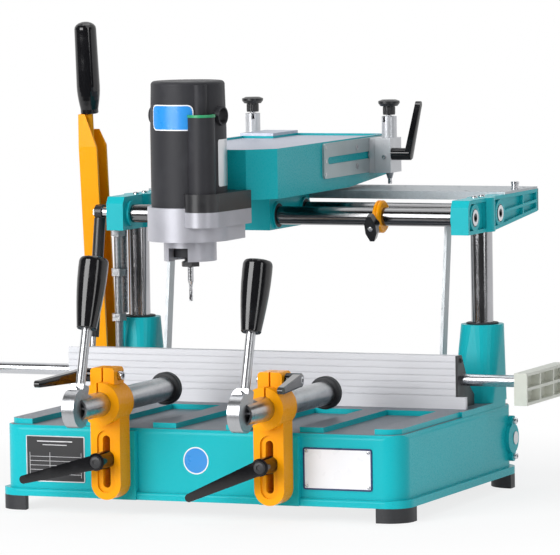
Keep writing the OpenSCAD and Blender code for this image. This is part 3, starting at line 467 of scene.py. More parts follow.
class Paintbox:
    """All the finishes, each made once."""

    teal = Enamel("teal_enamel", TEAL, DEEP_TEAL)
    base = CastingPaint("base_casting_enamel", milled_above=0.1125, milled=(0.20, 0.22, 0.25))
    arm = CastingPaint("arm_casting_enamel", milled_above=0.460, milled=(0.50, 0.53, 0.62),
                       grain=480.0, depth=0.00012, bare_above=0.4692)
    yellow = Enamel("yellow_enamel", (0.92, 0.36, 0.002), (0.80, 0.30, 0.001), grain=900.0,
                    gloss=0.26)
    chrome = BareMetal("ground_chrome", (0.50, 0.50, 0.52), 0.13, (1.0, 1.0, 6.0), grain=500.0)
    bar_chrome = BareMetal("bar_chrome", (0.24, 0.24, 0.245), 0.16, (6.0, 1.0, 1.0), grain=500.0)
    steel = BareMetal("turned_steel", (0.60, 0.61, 0.63), 0.27, (1.0, 8.0, 1.0))
    bright = BareMetal("zinc_plated_steel", (0.74, 0.75, 0.78), 0.24)
    satin = BareMetal("satin_tracer_steel", (0.80, 0.81, 0.84), 0.36, (8.0, 8.0, 0.3),
                      grain=600.0, metallic=0.4)
    slotted = BareMetal("slotted_plate_steel", (0.50, 0.58, 0.60), 0.40, (0.3, 8.0, 0.3),
                        grain=600.0, metallic=0.35)
    hub = BareMetal("milled_hub_steel", (0.58, 0.59, 0.61), 0.30, (8.0, 1.0, 1.0))
    aluminium = BareMetal("blasted_aluminium", (0.52, 0.52, 0.57), 0.36, grain=1400.0,
                          metallic=0.35, depth=0.00004)
    zinc = ZincSheet("galvanised_sheet", (0.42, 0.46, 0.49))
    link = BareMetal("link_bar_steel", (0.50, 0.53, 0.55), 0.38, (1.0, 1.0, 0.1), grain=400.0,
                     metallic=0.3)
    rubber = Moulded("black_rubber", (0.018, 0.019, 0.022), 0.62, depth=0.00010, grain=900.0)
    plastic = Moulded("black_handle_plastic", (0.006, 0.006, 0.007), 0.12, depth=0.00001)
    matt = Moulded("black_matt_plastic", (0.016, 0.016, 0.018), 0.42)
    black = Moulded("black_oxide", (0.020, 0.020, 0.022), 0.36, depth=0.00003)
    beige = Moulded("stop_block_plastic", (0.62, 0.63, 0.56), 0.50)
    motor = Moulded("motor_housing_plastic", (0.026, 0.026, 0.030), 0.54, depth=0.00005,
                    grain=1300.0, specular=0.25)
    thread = Threaded("threaded_rod", axis_x=-0.210, axis_y=0.07987)
    fence = Extrusion("anodised_extrusion", (0.72, 0.72, 0.75))
    white = PlainTint("plate_white", (0.80, 0.80, 0.82), 0.3)
    navy = PlainTint("plate_navy", (0.010, 0.030, 0.11), 0.3)
    plate_black = PlainTint("plate_black", (0.012, 0.012, 0.014), 0.4)
    silver = PlainTint("plate_silver", (0.66, 0.66, 0.68), 0.32, 0.8)
    blue = PlainTint("sticker_blue", (0.02, 0.25, 0.66), 0.3)
    green = PlainTint("band_green", (0.02, 0.30, 0.12), 0.35)

    def __init__(self) -> None:
        """Starts with no material made."""
        self.made: dict[str, bpy.types.Material] = {}

    def get(self, name: str) -> bpy.types.Material:
        """Gives the material of a finish, made on first use.

        Args:
            name: name of the finish in this class.

        Returns:
            The material.
        """
        if name not in self.made:
            self.made[name] = getattr(self, name).make()
        return self.made[name]


PAINT = Paintbox()


@dataclass
class Shape:
    """Points in millimetres of the machine frame or of a fitting's own frame, and faces."""

    points: np.ndarray
    faces: list[tuple[int, ...]]

    @classmethod
    def empty(cls) -> "Shape":
        """A shape with nothing in it yet."""
        return cls(np.zeros((0, 3)), [])

    def __add__(self, other: "Shape") -> "Shape":
        """Both shapes as one."""
        moved = [tuple(i + len(self.points) for i in face) for face in other.faces]
        return Shape(np.vstack([self.points, other.points]), self.faces + moved)

    def at(self, x: float, y: float, z: float, along: Along = Along.Z) -> "Shape":
        """Turns the shape's own Z to a direction and moves its origin.

        Args:
            x: place across the machine.
            y: place towards the rear.
            z: height above the bench.
            along: direction of the shape's own Z.

        Returns:
            The placed shape.
        """
        return Shape(self.points @ np.array(along.value, float) + np.array([x, y, z]), self.faces)

    def tilted(self, pivot: RGB, degrees: float) -> "Shape":
        """Turns a placed shape about the X direction.

        Args:
            pivot: point that stays where it is.
            degrees: turn, from Y towards Z.

        Returns:
            The turned shape.
        """
        c, s = math.cos(math.radians(degrees)), math.sin(math.radians(degrees))
        turn = np.array([[1, 0, 0], [0, c, s], [0, -s, c]])
        return Shape((self.points - np.array(pivot)) @ turn + np.array(pivot), self.faces)


def rings(radii: list, heights: list[float], steps: int = 32) -> Shape:
    """A body of rings: radius, a number or one value per angle, against height.

    A point is (radius cos angle, radius sin angle, height). The first and last ring are
    closed by a flat face.

    Args:
        radii: one number or array of `steps` values for each ring.
        heights: height of each ring.
        steps: points on a ring.

    Returns:
        The closed shape.
    """
    angle = np.arange(steps) * math.tau / steps
    size = np.array([np.broadcast_to(np.asarray(r, float), steps) for r in radii])
    level = np.array(heights, float)[:, None] * np.ones(steps)
    grid = np.stack([size * np.cos(angle), size * np.sin(angle), level], axis=-1)
    walls = joined_loops(grid)
    last = (len(radii) - 1) * steps
    lids = [tuple(reversed(range(steps))), tuple(range(last, last + steps))]
    return Shape(walls.points, walls.faces[:last] + lids)


def hexagon(across: float, steps: int = 24) -> np.ndarray:
    """Radius of a hexagon at each angle: half the width over the cosine to the nearest flat."""
    angle = np.arange(steps) * math.tau / steps
    return across / 2 / np.cos((angle + math.pi / 6) % (math.pi / 3) - math.pi / 6)


class Screw(Enum):
    """Kinds of screw head with a hexagon socket.

    Each gives the socket's width as a share of the head's, the wall from the seat upwards as
    shares of radius and height, and the socket's floor as shares of its width and the height.
    """

    CAP = (0.48, ((1, 0), (1, 0.86), (0.9, 1)), (0.98, 0.4))
    BUTTON = (0.42, ((1, 0), (0.97, 0.35), (0.8, 0.85)), (0.98, 0.45))
    FLAT = (0.40, ((1, 0), (0.98, 1)), (0.95, 0.3))

    def head(self, width: float, height: float) -> Shape:
        """Makes a head of this kind on z = 0.

        Args:
            width: diameter of the head.
            height: height of the head.

        Returns:
            The closed head.
        """
        share, wall, (narrow, deep) = self.value
        key = hexagon(width * share)
        radii = [width / 2 * part for part, _ in wall] + [key, key * narrow]
        heights = [height * part for _, part in wall] + [height, height * deep]
        return rings(radii, heights, 24)


def hex_head(across: float, height: float) -> Shape:
    """Hexagon bolt head that narrows at its top to a circle as wide as the flats.

    Args:
        across: width across the flats.
        height: height of the head.

    Returns:
        The closed head.
    """
    flat = hexagon(across)
    return rings([flat, flat, across / 2], [0, height * 0.85, height], 24)


def joined_loops(loops: np.ndarray) -> Shape:
    """Joins closed loops of points with faces, each to the next and the last to the first.

    Args:
        loops: points by loop, place along the loop and axis.

    Returns:
        The closed shape.
    """
    rows, count = loops.shape[:2]
    faces = [
        (k * count + i, k * count + (i + 1) % count, (k + 1) % rows * count + (i + 1) % count,
         (k + 1) % rows * count + i)
        for k in range(rows) for i in range(count)
    ]
    return Shape(loops.reshape(-1, 3), faces)


def carried_round(wall: list[tuple[float, float]], steps: int) -> Shape:
    """Carries a closed profile round the Z axis: (radius cos angle, radius sin angle, height).

    Args:
        wall: radius and height of each corner of the profile.
        steps: points on a loop.

    Returns:
        The closed ring.
    """
    angle = np.arange(steps) * math.tau / steps
    radius, height = (column[:, None] for column in np.array(wall, float).T)
    return joined_loops(np.stack(
        [radius * np.cos(angle), radius * np.sin(angle), height * np.ones(steps)], axis=-1
    ))


def washer(outer: float, inner: float, thick: float, steps: int = 32) -> Shape:
    """Flat ring on z = 0, of two diameters: a rectangle carried round the Z axis."""
    wall = [(outer / 2, 0), (outer / 2, thick), (inner / 2, thick), (inner / 2, 0)]
    return carried_round(wall, steps)


def rounded_outline(width: float, height: float, radius: float, steps: int = 6) -> np.ndarray:
    """Outline of a rounded rectangle about the origin: an arc round each corner's centre.

    Args:
        width: size along X.
        height: size along Y.
        radius: corner radius.
        steps: points on each arc.

    Returns:
        The outline's points, anticlockwise.
    """
    arc = np.linspace(0, math.pi / 2, steps)
    parts = []
    for k, (sx, sy) in enumerate(((1, 1), (-1, 1), (-1, -1), (1, -1))):
        turn = arc + k * math.pi / 2
        x, y = sx * (width / 2 - radius), sy * (height / 2 - radius)
        parts.append(np.stack([x + radius * np.cos(turn), y + radius * np.sin(turn)], -1))
    return np.vstack(parts)


def slab(outline: np.ndarray, thick: float) -> Shape:
    """Plate on z = 0: the outline at both heights, with walls and two faces.

    Args:
        outline: points in X and Y.
        thick: thickness.

    Returns:
        The closed plate.
    """
    count = len(outline)
    low = np.column_stack([outline, np.zeros(count)])
    high = np.column_stack([outline, np.full(count, thick)])
    faces = [(i, (i + 1) % count, count + (i + 1) % count, count + i) for i in range(count)]
    faces += [tuple(reversed(range(count))), tuple(range(count, 2 * count))]
    return Shape(np.vstack([low, high]), faces)


def border(outer: np.ndarray, inner: np.ndarray, thick: float) -> Shape:
    """Raised frame on z = 0 between two outlines with the same number of points.

    Args:
        outer: points of the outer outline.
        inner: points of the inner outline.
        thick: height of the frame.

    Returns:
        The closed frame.
    """
    walls = ((outer, 0.0), (outer, thick), (inner, thick), (inner, 0.0))
    loops = [np.column_stack([line, np.full(len(line), level)]) for line, level in walls]
    return joined_loops(np.stack(loops))


def block(x0: float, x1: float, y0: float, y1: float, z0: float, z1: float) -> Shape:
    """Box between two corners of the machine frame, by its limits along X, Y and Z.

    Returns:
        The closed box.
    """
    outline = np.array([(x0, y0), (x1, y0), (x1, y1), (x0, y1)], float)
    shape = slab(outline, z1 - z0)
    shape.points[:, 2] += z0
    return shape


def tube_ring(outer: float, inner: float, length: float, edge: float = 0.6,
              steps: int = 40) -> Shape:
    """Collar on z = 0: a profile with both outer corners cut off, carried round Z.

    Args:
        outer: outer diameter.
        inner: inner diameter.
        length: length along the axis.
        edge: size of the chamfers.
        steps: points round it.

    Returns:
        The closed collar.
    """
    wall = [(outer / 2, edge), (outer / 2, length - edge), (outer / 2 - edge, length),
            (inner / 2, length), (inner / 2, 0), (outer / 2 - edge, 0)]
    return carried_round(wall, steps)


def wrapped(radius: float, outline: np.ndarray, middle: float, level: float, thick: float) -> Shape:
    """Label wrapped on a cylinder about the origin's Z axis.

    The outline is cut into upright strips. Each strip runs from the lower to the upper edge at
    its place along the label, and that place becomes an angle.

    Args:
        radius: radius of the surface it lies on.
        outline: outline of the label laid flat, in millimetres.
        middle: angle of its middle in degrees from X.
        level: height of its middle.
        thick: thickness.

    Returns:
        The closed label.
    """
    upper = outline[outline[:, 1] > 0]
    upper = upper[np.argsort(upper[:, 0], kind="stable")]
    along = np.linspace(upper[0, 0], upper[-1, 0], 49)
    half = np.interp(along, upper[:, 0], upper[:, 1])
    angle = math.radians(middle) + along / radius
    parts = []
    for r, z in ((radius, -half), (radius + thick, -half), (radius + thick, half), (radius, half)):
        parts.append(np.stack([r * np.cos(angle), r * np.sin(angle), level + z], -1))
    n = len(along)
    faces = [(k * n + i, k * n + i + 1, (k + 1) % 4 * n + i + 1, (k + 1) % 4 * n + i)
             for k in range(4) for i in range(n - 1)]
    faces += [(0, n, 2 * n, 3 * n), tuple(k * n + n - 1 for k in (3, 2, 1, 0))]
    return Shape(np.vstack(parts), faces)


def put(name: str, shape: Shape, body: str, finish: str) -> None:
    """Puts a piece into the scene, in the part's frame, and lets it ride on a body.

    Args:
        name: name of the piece.
        shape: its placed shape, in the machine frame.
        body: body that it rides on.
        finish: name of a finish in the paint box.
    """
    mesh = bpy.data.meshes.new(name)
    mesh.from_pydata(((shape.points - ORIGIN) / 1000).tolist(), [], shape.faces)
    work = bmesh.new()
    work.from_mesh(mesh)
    bmesh.ops.remove_doubles(work, verts=work.verts, dist=1e-6)
    bmesh.ops.recalc_face_normals(work, faces=work.faces)
    work.to_mesh(mesh)
    work.free()
    mesh.set_sharp_from_angle(angle=math.radians(32))
    for polygon in mesh.polygons:
        polygon.use_smooth = True
    mesh.materials.append(PAINT.get(finish))
    piece = bpy.data.objects.new(name, mesh)
    bpy.context.scene.collection.objects.link(piece)
    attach(piece, body)
    LOG.info("%s: %d faces on %s", name, len(mesh.polygons), body)


def dress(finishes: dict[str, str]) -> None:
    """Gives CAD nodes their finishes.

    Args:
        finishes: name of the finish by name of the node.
    """
    for node, finish in finishes.items():
        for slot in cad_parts[node].material_slots:
            slot.material = PAINT.get(finish)
        LOG.info("%s: finish %s", node, finish)


@dataclass
class BaseUnit:
    """Base casting with its plates, sockets and cross shaft bearings."""

    front: float = 6.0
    side: float = 290.0
    sign: tuple[float, float, float, float] = (147.0, 243.0, 40.0, 95.0)
    data: tuple[float, float, float, float] = (-249.0, -164.0, 38.0, 99.0)
    sticker_at: tuple[float, float] = (-4.4, 72.5)
    column_x: float = 254.0
    column_y: float = 386.0
    socket_top: float = 224.0
    bearing_y: float = 406.0
    bearing_screws_z: tuple[float, float] = (43.0, 91.0)

    def build(self) -> None:
        """Dresses the base and adds its plates and screws."""
        dress({"base_casting": "base", "rubber_feet": "rubber", "column_sockets": "teal",
               "shaft_bearings": "teal", "gas_stud_lower": "steel"})
        self.name_plate()
        self.data_plate()
        self.sticker()
        self.fittings()

    def plate(self, name: str, area: tuple, radius: float, thick: float, rim: float,
              face: str, edge: str) -> None:
        """Adds a plate with a raised border on the front of the base.

        Args:
            name: name of the plate.
            area: left, right, lower and upper limit.
            radius: corner radius.
            thick: thickness.
            rim: width of the border.
            face: finish of the face.
            edge: finish of the border.
        """
        x0, x1, z0, z1 = area
        cx, cz, w, h = (x0 + x1) / 2, (z0 + z1) / 2, x1 - x0, z1 - z0
        outer = rounded_outline(w, h, radius)
        inner = rounded_outline(w - 2 * rim, h - 2 * rim, max(radius - rim, 0.5))
        middle = (cx, self.front, cz, Along.NY)
        put(f"{name}_face", slab(inner, thick).at(*middle), "base", face)
        raised = border(outer, inner, thick + 0.3)
        put(f"{name}_border", raised.at(*middle), "base", edge)

    def name_plate(self) -> None:
        """Adds the bare white plate with its navy border and four rivets."""
        thick, inset = 0.8, 5
        self.plate("front_plate", self.sign, radius=3.0, thick=thick, rim=2.2,
                   face="white", edge="navy")
        x0, x1, z0, z1 = self.sign
        rivets = Shape.empty()
        for x in (x0 + inset, x1 - inset):
            for z in (z0 + inset, z1 - inset):
                rivets += Screw.BUTTON.head(4.6, 1.6).at(x, self.front - thick, z, Along.NY)
        put("front_plate_rivets", rivets, "base", "bright")

    def data_plate(self) -> None:
        """Adds the black plate with its silver border and plain lines."""
        thick, raised, wide, margin, rows = 0.6, 0.15, 0.5, 5, 6
        self.plate("left_plate", self.data, radius=2.0, thick=thick, rim=1.2,
                   face="plate_black", edge="silver")
        x0, x1, z0, z1 = self.data
        y1 = self.front - thick
        y0 = y1 - raised
        lines = Shape.empty()
        for row in range(1, rows):
            z = z0 + 4 + row * (z1 - z0 - 26) / rows
            lines += block(x0 + margin, x1 - margin, y0, y1, z, z + wide)
        for x in (x0 + margin, x0 + 34, x1 - margin - wide):
            lines += block(x, x + wide, y0, y1, z0 + 6, z1 - 22)
        lines += block(x0 + 16, x1 - 18, y0, y1, z1 - 8, z1 - 6.6)
        lines += block(x0 + 24, x1 - 26, y0, y1, z1 - 12.5, z1 - 11.5)
        put("left_plate_lines", lines, "base", "silver")

    def sticker(self) -> None:
        """Adds the plain blue disc with its pale rim."""
        x, z = self.sticker_at
        disc_r, rim_r = 16.4, 18.0
        disc = rings([disc_r, disc_r], [0, 0.25], 48).at(x, self.front, z, Along.NY)
        put("round_sticker", disc, "base", "blue")
        rim = tube_ring(2 * rim_r, 2 * disc_r, 0.35, 0.1, 48).at(x, self.front, z, Along.NY)
        put("round_sticker_rim", rim, "base", "white")

    def fittings(self) -> None:
        """Adds the wiper rings of the columns and the bearing screws."""
        seals = Shape.empty()
        screws = Shape.empty()
        wiper = tube_ring(44.0, 30.6, 2.2)
        for side, out in ((-1, Along.NX), (1, Along.X)):
            seals += wiper.at(side * self.column_x, self.column_y, self.socket_top)
            for z in self.bearing_screws_z:
                screws += Screw.CAP.head(8.5, 5).at(side * self.side, self.bearing_y, z, out)
        put("column_wipers", seals, "base", "rubber")
        put("bearing_screws", screws, "base", "bright")


@dataclass
class HeadUnit:
    """Plunging head: brackets, bars, columns, template plate and depth rod."""

    outer: float = 265.6
    top: float = 395.0
    column_x: float = 254.0
    column_y: float = 386.0
    bolt_sunk: float = 7.0
    bar_z: float = BAR_Z
    bars_y: tuple[float, float] = BARS_Y
    plate_top: float = 398.0
    plate_y: tuple[float, float] = (449.0, 578.0)
    thumb_screw: tuple[float, float] = (254.0, 520.0)

    def build(self) -> None:
        """Dresses the head and adds its screws."""
        dress({"columns": "chrome", "head_bracket_left": "teal", "head_bracket_right": "teal",
               "guide_bars": "bar_chrome", "template_plate": "zinc", "bracket_end_caps": "matt",
               "depth_rod": "thread", "depth_scale": "bright", "link_bars": "link",
               "gas_stud_upper": "bright", "crank_shaft": "steel"})
        self.screws()
        self.bar_washers()

    def screws(self) -> None:
        """Adds the column bolts, plate screws and the knurled screw."""
        bolts = Shape.empty()
        for side in (-1, 1):
            bolts += Screw.CAP.head(10, 6).at(side * self.column_x, self.column_y,
                                            self.top - self.bolt_sunk)
            for y in (self.column_y - 14, self.column_y + 14):
                bolts += Screw.BUTTON.head(9, 3).at(side * (self.column_x - 4), y, self.top)
        for y in (self.plate_y[0] + 17, self.plate_y[1] - 20):
            bolts += Screw.BUTTON.head(11, 4).at(-self.outer + 12, y, self.plate_top)
        put("head_screws", bolts, "head", "bright")
        knob = rings([6, 6, 5.2, 5.2, 5.8, 5.8, 3.0], [0, 1.5, 2.0, 7.0, 7.5, 10.0, 10.6], 32)
        put("plate_thumb_screw", knob.at(*self.thumb_screw, self.plate_top), "head",
            "bright")

    def bar_washers(self) -> None:
        """Adds the washers at the right ends of the guide bars."""
        ends = Shape.empty()
        for y in self.bars_y:
            ends += washer(22, 12, 1.6).at(self.outer - 1, y, self.bar_z, Along.X)
        put("bar_end_washers", ends, "head", "bright")


@dataclass
class CarriageUnit:
    """Cross carriage, stop ring and their small parts."""

    x: float = ARM_X
    half: float = 39.0
    bars_y: tuple[float, float] = BARS_Y
    bar_z: float = BAR_Z
    ring_x: float = 130.0
    screw_front: float = 290.0
    screw_dip: float = 20.0

    def build(self) -> None:
        """Dresses the carriage and adds the wiper rings of its bushes."""
        dress({"carriage": "teal", "carriage_slider": "aluminium", "stop_ring": "yellow",
               "stop_ring_knob": "plastic"})
        seals = Shape.empty()
        # Thin, so that they stay clear of the bracket and the stop ring at the travel's ends
        wiper = tube_ring(33, 25.4, 0.25, 0.08)
        for y in self.bars_y:
            seals += wiper.at(self.x + self.half, y, self.bar_z, Along.X)
            seals += wiper.at(self.x - self.half, y, self.bar_z, Along.NX)
        put("bush_wipers", seals, "cross_carriage", "rubber")
        cap = rings([3.4, 3.4, 2.6, 1.4, 1.2], [0, 0.5, 0.9, 0.9, 0.3], 32)
        placed = cap.at(self.ring_x, self.screw_front, self.bar_z, Along.NY)
        placed = placed.tilted((self.ring_x, self.bars_y[0], self.bar_z), self.screw_dip)
        put("ring_screw_cap", placed, "ring_screw", "bright")


@dataclass
class ArmUnit:
    """Arm with motor, holder and tracer plates. Its y is that of the motor's axis."""

    x: float = ARM_X
    y: float = 120.0
    right: float = 34.0
    plate: float = 3.0
    motor_r: float = 50.5
    brush_z: float = 517.0
    left_back: float = TRACER_LEFT_BACK

    def build(self) -> None:
        """Dresses the arm and adds labels, brush covers and screws."""
        dress({"arm_casting": "arm", "arm_guide_rods": "chrome", "motor_holder": "aluminium",
               "motor_clamp": "black", "motor_housing": "motor", "tracer_plates": "slotted",
               "collet_nut": "black", "cutter": "bright"})
        self.labels()
        self.brushes()
        self.screws()

    def labels(self) -> None:
        """Adds the motor's plain labels: blue with a pale rim and a green ring, and grey."""
        blue = wrapped(self.motor_r, rounded_outline(62, 31, 7), -95, 516, 0.25)
        put("motor_blue_label", blue.at(self.x, self.y, 0), "router_arm", "blue")
        rim = wrapped(self.motor_r, rounded_outline(65, 34, 8), -95, 516, 0.12)
        put("motor_blue_label_rim", rim.at(self.x, self.y, 0), "router_arm", "white")
        ring = tube_ring(37.4, 33.0, 3.6, 0.3, 48).at(self.x + 35, self.y - 37, 516.4)
        put("motor_green_ring", ring, "router_arm", "green")
        grey = wrapped(self.motor_r, rounded_outline(34, 62, 3), 3, 455, 0.3)
        put("motor_grey_label", grey.at(self.x, self.y, 0), "router_arm", "silver")

    def brushes(self) -> None:
        """Adds the slotted brush covers on both sides of the motor."""
        covers = Shape.empty()
        disc = rings([10.5, 10.5, 9.5, 2.0, 1.8], [0, 0.8, 1.4, 1.4, 0.6], 32)
        lying = disc.points @ np.array([[0, 0, 1], [0, 1, 0], [-1, 0, 0]], float)
        reach = self.motor_r + 4
        for turn in (-8, 172):
            c, s = math.cos(math.radians(turn)), math.sin(math.radians(turn))
            turned = lying @ np.array([[c, s, 0], [-s, c, 0], [0, 0, 1]])
            shift = np.array([self.x + c * reach, self.y + s * reach, self.brush_z])
            covers += Shape(turned + shift, disc.faces)
        put("brush_covers", covers, "router_arm", "matt")

    def screws(self) -> None:
        """Adds the screws of both tracer plates."""
        flat = Shape.empty()
        faces = ((self.right + self.plate, 0.0, Along.X),
                 (2 * self.x - self.right - self.plate, self.left_back, Along.NX))
        large, small = ((456, 9), (430, 9)), ((461, 5), (443, 5), (425, 5))
        for y, column in ((480, large), (366, small)):
            for z, size in column:
                for x, back, out in faces:
                    flat += Screw.FLAT.head(size, 0.5).at(x, y + back, z, out)
        put("tracer_plate_screws", flat, "router_arm", "bright")


@dataclass
class TracerUnit:
    """Tracer blocks, levers and pins of both sides."""

    arm_x: float = ARM_X
    right_x: float = 59.6
    right_y: float = 545.0
    left_back: float = TRACER_LEFT_BACK
    block_half: float = 20.5
    set_screw_z: float = 440.0

    def build(self) -> None:
        """Adds set screws, bright tips and knurled rings to both tracers, and dresses them."""
        left_x, left_y = 2 * self.arm_x - self.right_x, self.right_y + self.left_back
        self.fittings("right", self.right_x, self.right_y)
        self.fittings("left", left_x, left_y)
        for side in ("right", "left"):
            dress({f"tracer_block_{side}": "satin", f"tracer_lever_{side}": "plastic",
                   f"tracer_pin_{side}": "black"})

    def fittings(self, side: str, x: float, y: float) -> None:
        """Adds the small parts of one tracer.

        Args:
            side: right or left.
            x: place of its axis across the machine.
            y: place of its axis towards the rear.
        """
        screw = Screw.CAP.head(6, 3).at(x, y - self.block_half, self.set_screw_z, Along.NY)
        put(f"tracer_{side}_set_screw", screw, f"tracer_{side}", "bright")
        grip = rings([np.where(np.arange(48) % 2, 8.7, 8.3)] * 2, [499.5, 508.5], 48)
        tip = rings([2.9, 2.9, 3.4, 5.95, 5.9], [401.9, 409.4, 409.4, 417.45, 417.6], 32)
        neck = rings([3.6, 3.6], [492.2, 497.9], 32)
        pin = f"tracer_pin_{side}"
        put(f"tracer_{side}_tip", (tip + neck).at(x, y, 0), pin, "bright")
        put(f"tracer_{side}_knurl", grip.at(x, y, 0), pin, "black")


@dataclass
class LeverUnit:
    """Plunge lever and gas spring."""

    x: float = -318.5
    pivot: tuple[float, float] = (412.0, 67.0)

    def build(self) -> None:
        """Dresses the lever and the spring."""
        dress({"plunge_lever": "yellow", "lever_grip": "plastic", "gas_rod": "chrome",
               "gas_cylinder": "black"})
        nut = hex_head(19, 8).at(self.x - 16.5, *self.pivot, Along.NX)
        disc = washer(26, 17, 2).at(self.x - 14, *self.pivot, Along.NX)
        put("lever_hub_nut", nut + disc, "plunge_crank", "bright")


@dataclass
class FenceUnit:
    """Fence, its caps and the two profile stops."""

    face_y: float = 268.0
    cap_x: float = 262.0

    def build(self) -> None:
        """Dresses the fence and stops and adds the cap screws."""
        dress({"fence_profile": "fence", "fence_end_caps": "matt", "stop_rod_left": "bright",
               "stop_rod_right": "bright", "stop_block_left": "beige", "stop_block_right": "beige"})
        screws = Shape.empty()
        for y, z in ((self.face_y + 14, 128), (self.face_y + 12, 184)):
            screws += Screw.BUTTON.head(7, 2.4).at(self.cap_x, y, z, Along.X)
        put("fence_cap_screws", screws, "base", "black")


@dataclass
class ClampUnit:
    """One cam clamp. The right one is built as the mirror image of the left.

    The collar is the place (y, z) of the bolt through its ears, and the knob that of the
    height lever's cap.
    """

    side: str
    x: float
    flip: float
    collar: tuple[float, float] = (-18.0, 184.0)
    knob: tuple[float, float] = (-64.3, 75.0)

    def build(self) -> None:
        """Dresses the clamp and adds the bolt and the caps of its levers."""
        s = self.side
        dress({f"clamp_bracket_{s}": "yellow", f"height_lever_{s}": "plastic",
               f"collar_lever_{s}": "plastic", f"clamp_tube_{s}": "steel",
               f"clamp_pad_{s}": "rubber", f"cam_hub_{s}": "hub", f"cam_grip_{s}": "plastic"})
        near, far = (Along.X, Along.NX) if self.flip > 0 else (Along.NX, Along.X)
        bolt = Screw.CAP.head(12, 6).at(self.x + self.flip * 14, *self.collar, near)
        put(f"clamp_{s}_ear_bolt", bolt, f"clamp_{s}_bracket", "bright")
        hub = Screw.BUTTON.head(17, 2.5).at(self.x, *self.knob, Along.NY)
        put(f"clamp_{s}_lever_cap", hub, f"clamp_{s}_height_lever", "matt")
        cap = Screw.BUTTON.head(11, 2.2).at(self.x - self.flip * 40.3, *self.collar, far)
        put(f"clamp_{s}_collar_lever_screw", cap, f"clamp_{s}_collar_lever", "bright")


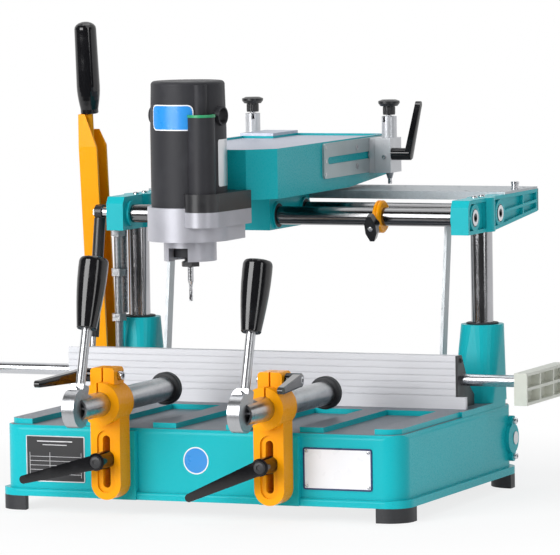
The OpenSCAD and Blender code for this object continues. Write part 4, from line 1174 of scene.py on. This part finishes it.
class Studio:
    """Floor, lamps, world and camera."""

    # Fitted view: azimuth, elevation and roll in degrees, focal length in pixels of the
    # picture, shift of the object in millimetres, and pixels to the millimetre at it
    azimuth, elevation, roll = 22.8389, 4.526, -0.8556
    focal_px, across, upward, scale = 4955.4744, -103.4955, -292.6468, 0.7679
    picture_px, sensor = 560.0, 36.0
    fit_origin = np.array([57.25, -258.1279, 19.0])
    # Strength of reflections from the camera's side, and of the sky's own light
    dim, fill = 0.05, 0.36
    floor_reach = 14.0

    def stand(self, data: bpy.types.ID, axes: tuple, spot: RGB | np.ndarray) -> bpy.types.Object:
        """Stands a camera or lamp in the scene.

        Args:
            data: the camera or lamp.
            axes: where its own X, Y and Z point. It looks along its -Z.
            spot: its place in metres.

        Returns:
            Its object.
        """
        turn = np.eye(4)
        turn[:3] = np.column_stack([*axes, spot])
        thing = bpy.data.objects.new(data.name, data)
        thing.matrix_world = Matrix(turn.tolist())
        bpy.context.scene.collection.objects.link(thing)
        return thing

    def camera(self) -> None:
        """Adds the camera: where the photograph was taken from, with its long lens."""
        a, e, r = (math.radians(v) for v in (self.azimuth, self.elevation, self.roll))
        forward = np.array([-math.sin(a) * math.cos(e), math.cos(a) * math.cos(e), -math.sin(e)])
        level = np.array([math.cos(a), math.sin(a), 0.0])
        upright = np.cross(level, forward)
        right = math.cos(r) * level + math.sin(r) * upright
        up = -math.sin(r) * level + math.cos(r) * upright
        distance = self.focal_px / self.scale
        spot = -(self.across * right + self.upward * up + distance * forward) + self.fit_origin
        lens = bpy.data.cameras.new("photo_camera")
        lens.sensor_fit, lens.sensor_width = "HORIZONTAL", self.sensor
        lens.lens = self.focal_px / self.picture_px * self.sensor
        lens.clip_end = 60.0
        bpy.context.scene.camera = self.stand(lens, (right, up, -forward), spot / 1000)

    def seen(self, net: Net) -> tuple[Val, Val]:
        """Tells the rays that show the background.

        Args:
            net: node tree that asks.

        Returns:
            1 for rays of the camera, and 1 for those of the camera, a reflection or glass.
        """
        camera, mirror, glass = (
            net.node("ShaderNodeLightPath", {}, {}, f"Is {kind} Ray")
            for kind in ("Camera", "Glossy", "Transmission")
        )
        return camera, camera.math("MAXIMUM", mirror).math("MAXIMUM", glass)

    def floor(self) -> None:
        """Adds the pale floor, white to the camera and in reflections of the ground close by."""
        mesh = bpy.data.meshes.new("studio_floor")
        reach = self.floor_reach
        corners = [(-reach, -reach, 0), (reach, -reach, 0), (reach, reach, 0), (-reach, reach, 0)]
        mesh.from_pydata(corners, [], [(0, 1, 2, 3)])
        net = Net("studio_floor")
        net.feed(Base_Color=(0.90, 0.90, 0.90), Roughness=0.85)
        camera, seen = self.seen(net)
        far = (net.x * net.x + net.y * net.y).math("SQRT")
        share = seen * far.ramp(0.45, 0.85, 0.80, 1.0)
        shine = camera.math("MAXIMUM", net.y.ramp(-0.95, -0.60))
        tint = net.blend(shine, (self.dim, self.dim, self.dim), (1.0, 1.0, 1.0))
        glow = net.node("ShaderNodeEmission", {}, {"Color": tint, "Strength": 1.0})
        paint = Val(net, net.shader.outputs[0])
        mixed = net.node("ShaderNodeMixShader", {}, {0: share, 1: paint, 2: glow})
        end = next(n for n in net.tree.nodes if n.type == "OUTPUT_MATERIAL")
        net.tree.links.new(mixed.socket, end.inputs[0])
        mesh.materials.append(net.material)
        floor = bpy.data.objects.new("studio_floor", mesh)
        bpy.context.scene.collection.objects.link(floor)

    def world(self) -> None:
        """Sets the world: white to the camera, and in reflections white behind the machine."""
        net = SkyNet("studio_world")

        def sky(colour: RGB, strength: float) -> Val:
            """One plain background."""
            inputs = {"Color": (*colour, 1.0), "Strength": strength}
            return net.node("ShaderNodeBackground", {}, inputs)

        camera, seen = self.seen(net)
        shine = camera.math("MAXIMUM", net.y.ramp(-0.10, 0.30))
        dim, white = sky((1.0, 1.0, 1.0), self.dim), sky((1.0, 1.0, 1.0), 1.0)
        shown = net.node("ShaderNodeMixShader", {}, {0: shine, 1: dim, 2: white})
        plain = sky((0.93, 0.96, 1.0), self.fill)
        mixed = net.node("ShaderNodeMixShader", {}, {0: seen, 1: plain, 2: shown})
        end = net.tree.nodes.new("ShaderNodeOutputWorld")
        net.tree.links.new(mixed.socket, end.inputs[0])
        bpy.context.scene.world = net.world

    def lamp(self, name: str, spot: RGB, size: tuple[float, float], power: float) -> None:
        """Adds a soft lamp that looks at the middle of the machine.

        Args:
            name: name of the lamp.
            spot: its place in metres.
            size: width and height in metres.
            power: power in watts.
        """
        light = bpy.data.lights.new(name, "AREA")
        light.shape, light.size, light.size_y, light.energy = "RECTANGLE", *size, power
        back = np.array(spot, float) - np.array((0.0, 0.0, 0.3))
        back /= np.linalg.norm(back)
        side = np.cross((0, 0, 1), back)
        side /= np.linalg.norm(side)
        self.stand(light, (side, np.cross(back, side), back), spot)

    def build(self) -> None:
        """Sets up floor, light and camera."""
        self.floor()
        self.world()
        self.lamp("key_softbox", (-1.3, -3.0, 1.35), (2.0, 2.3), 114.0)
        self.lamp("side_softbox", (2.6, -1.8, 1.1), (0.7, 2.0), 16.0)
        self.lamp("top_softbox", (0.0, 0.3, 2.6), (2.0, 2.0), 20.0)
        self.camera()
        bpy.context.scene.view_settings.view_transform = "Standard"


def main() -> None:
    """Builds every sub-assembly in order, then the studio."""
    logging.basicConfig(level=logging.INFO, format="%(name)s %(message)s")
    units = [
        BaseUnit(), HeadUnit(), CarriageUnit(), ArmUnit(), TracerUnit(), LeverUnit(), FenceUnit(),
        ClampUnit("left", -115.5, 1.0), ClampUnit("right", 115.5, -1.0),
    ]
    for unit in units:
        unit.build()
        LOG.info("built %s", type(unit).__name__)
    Studio().build()


if __name__ == "__main__":
    main()
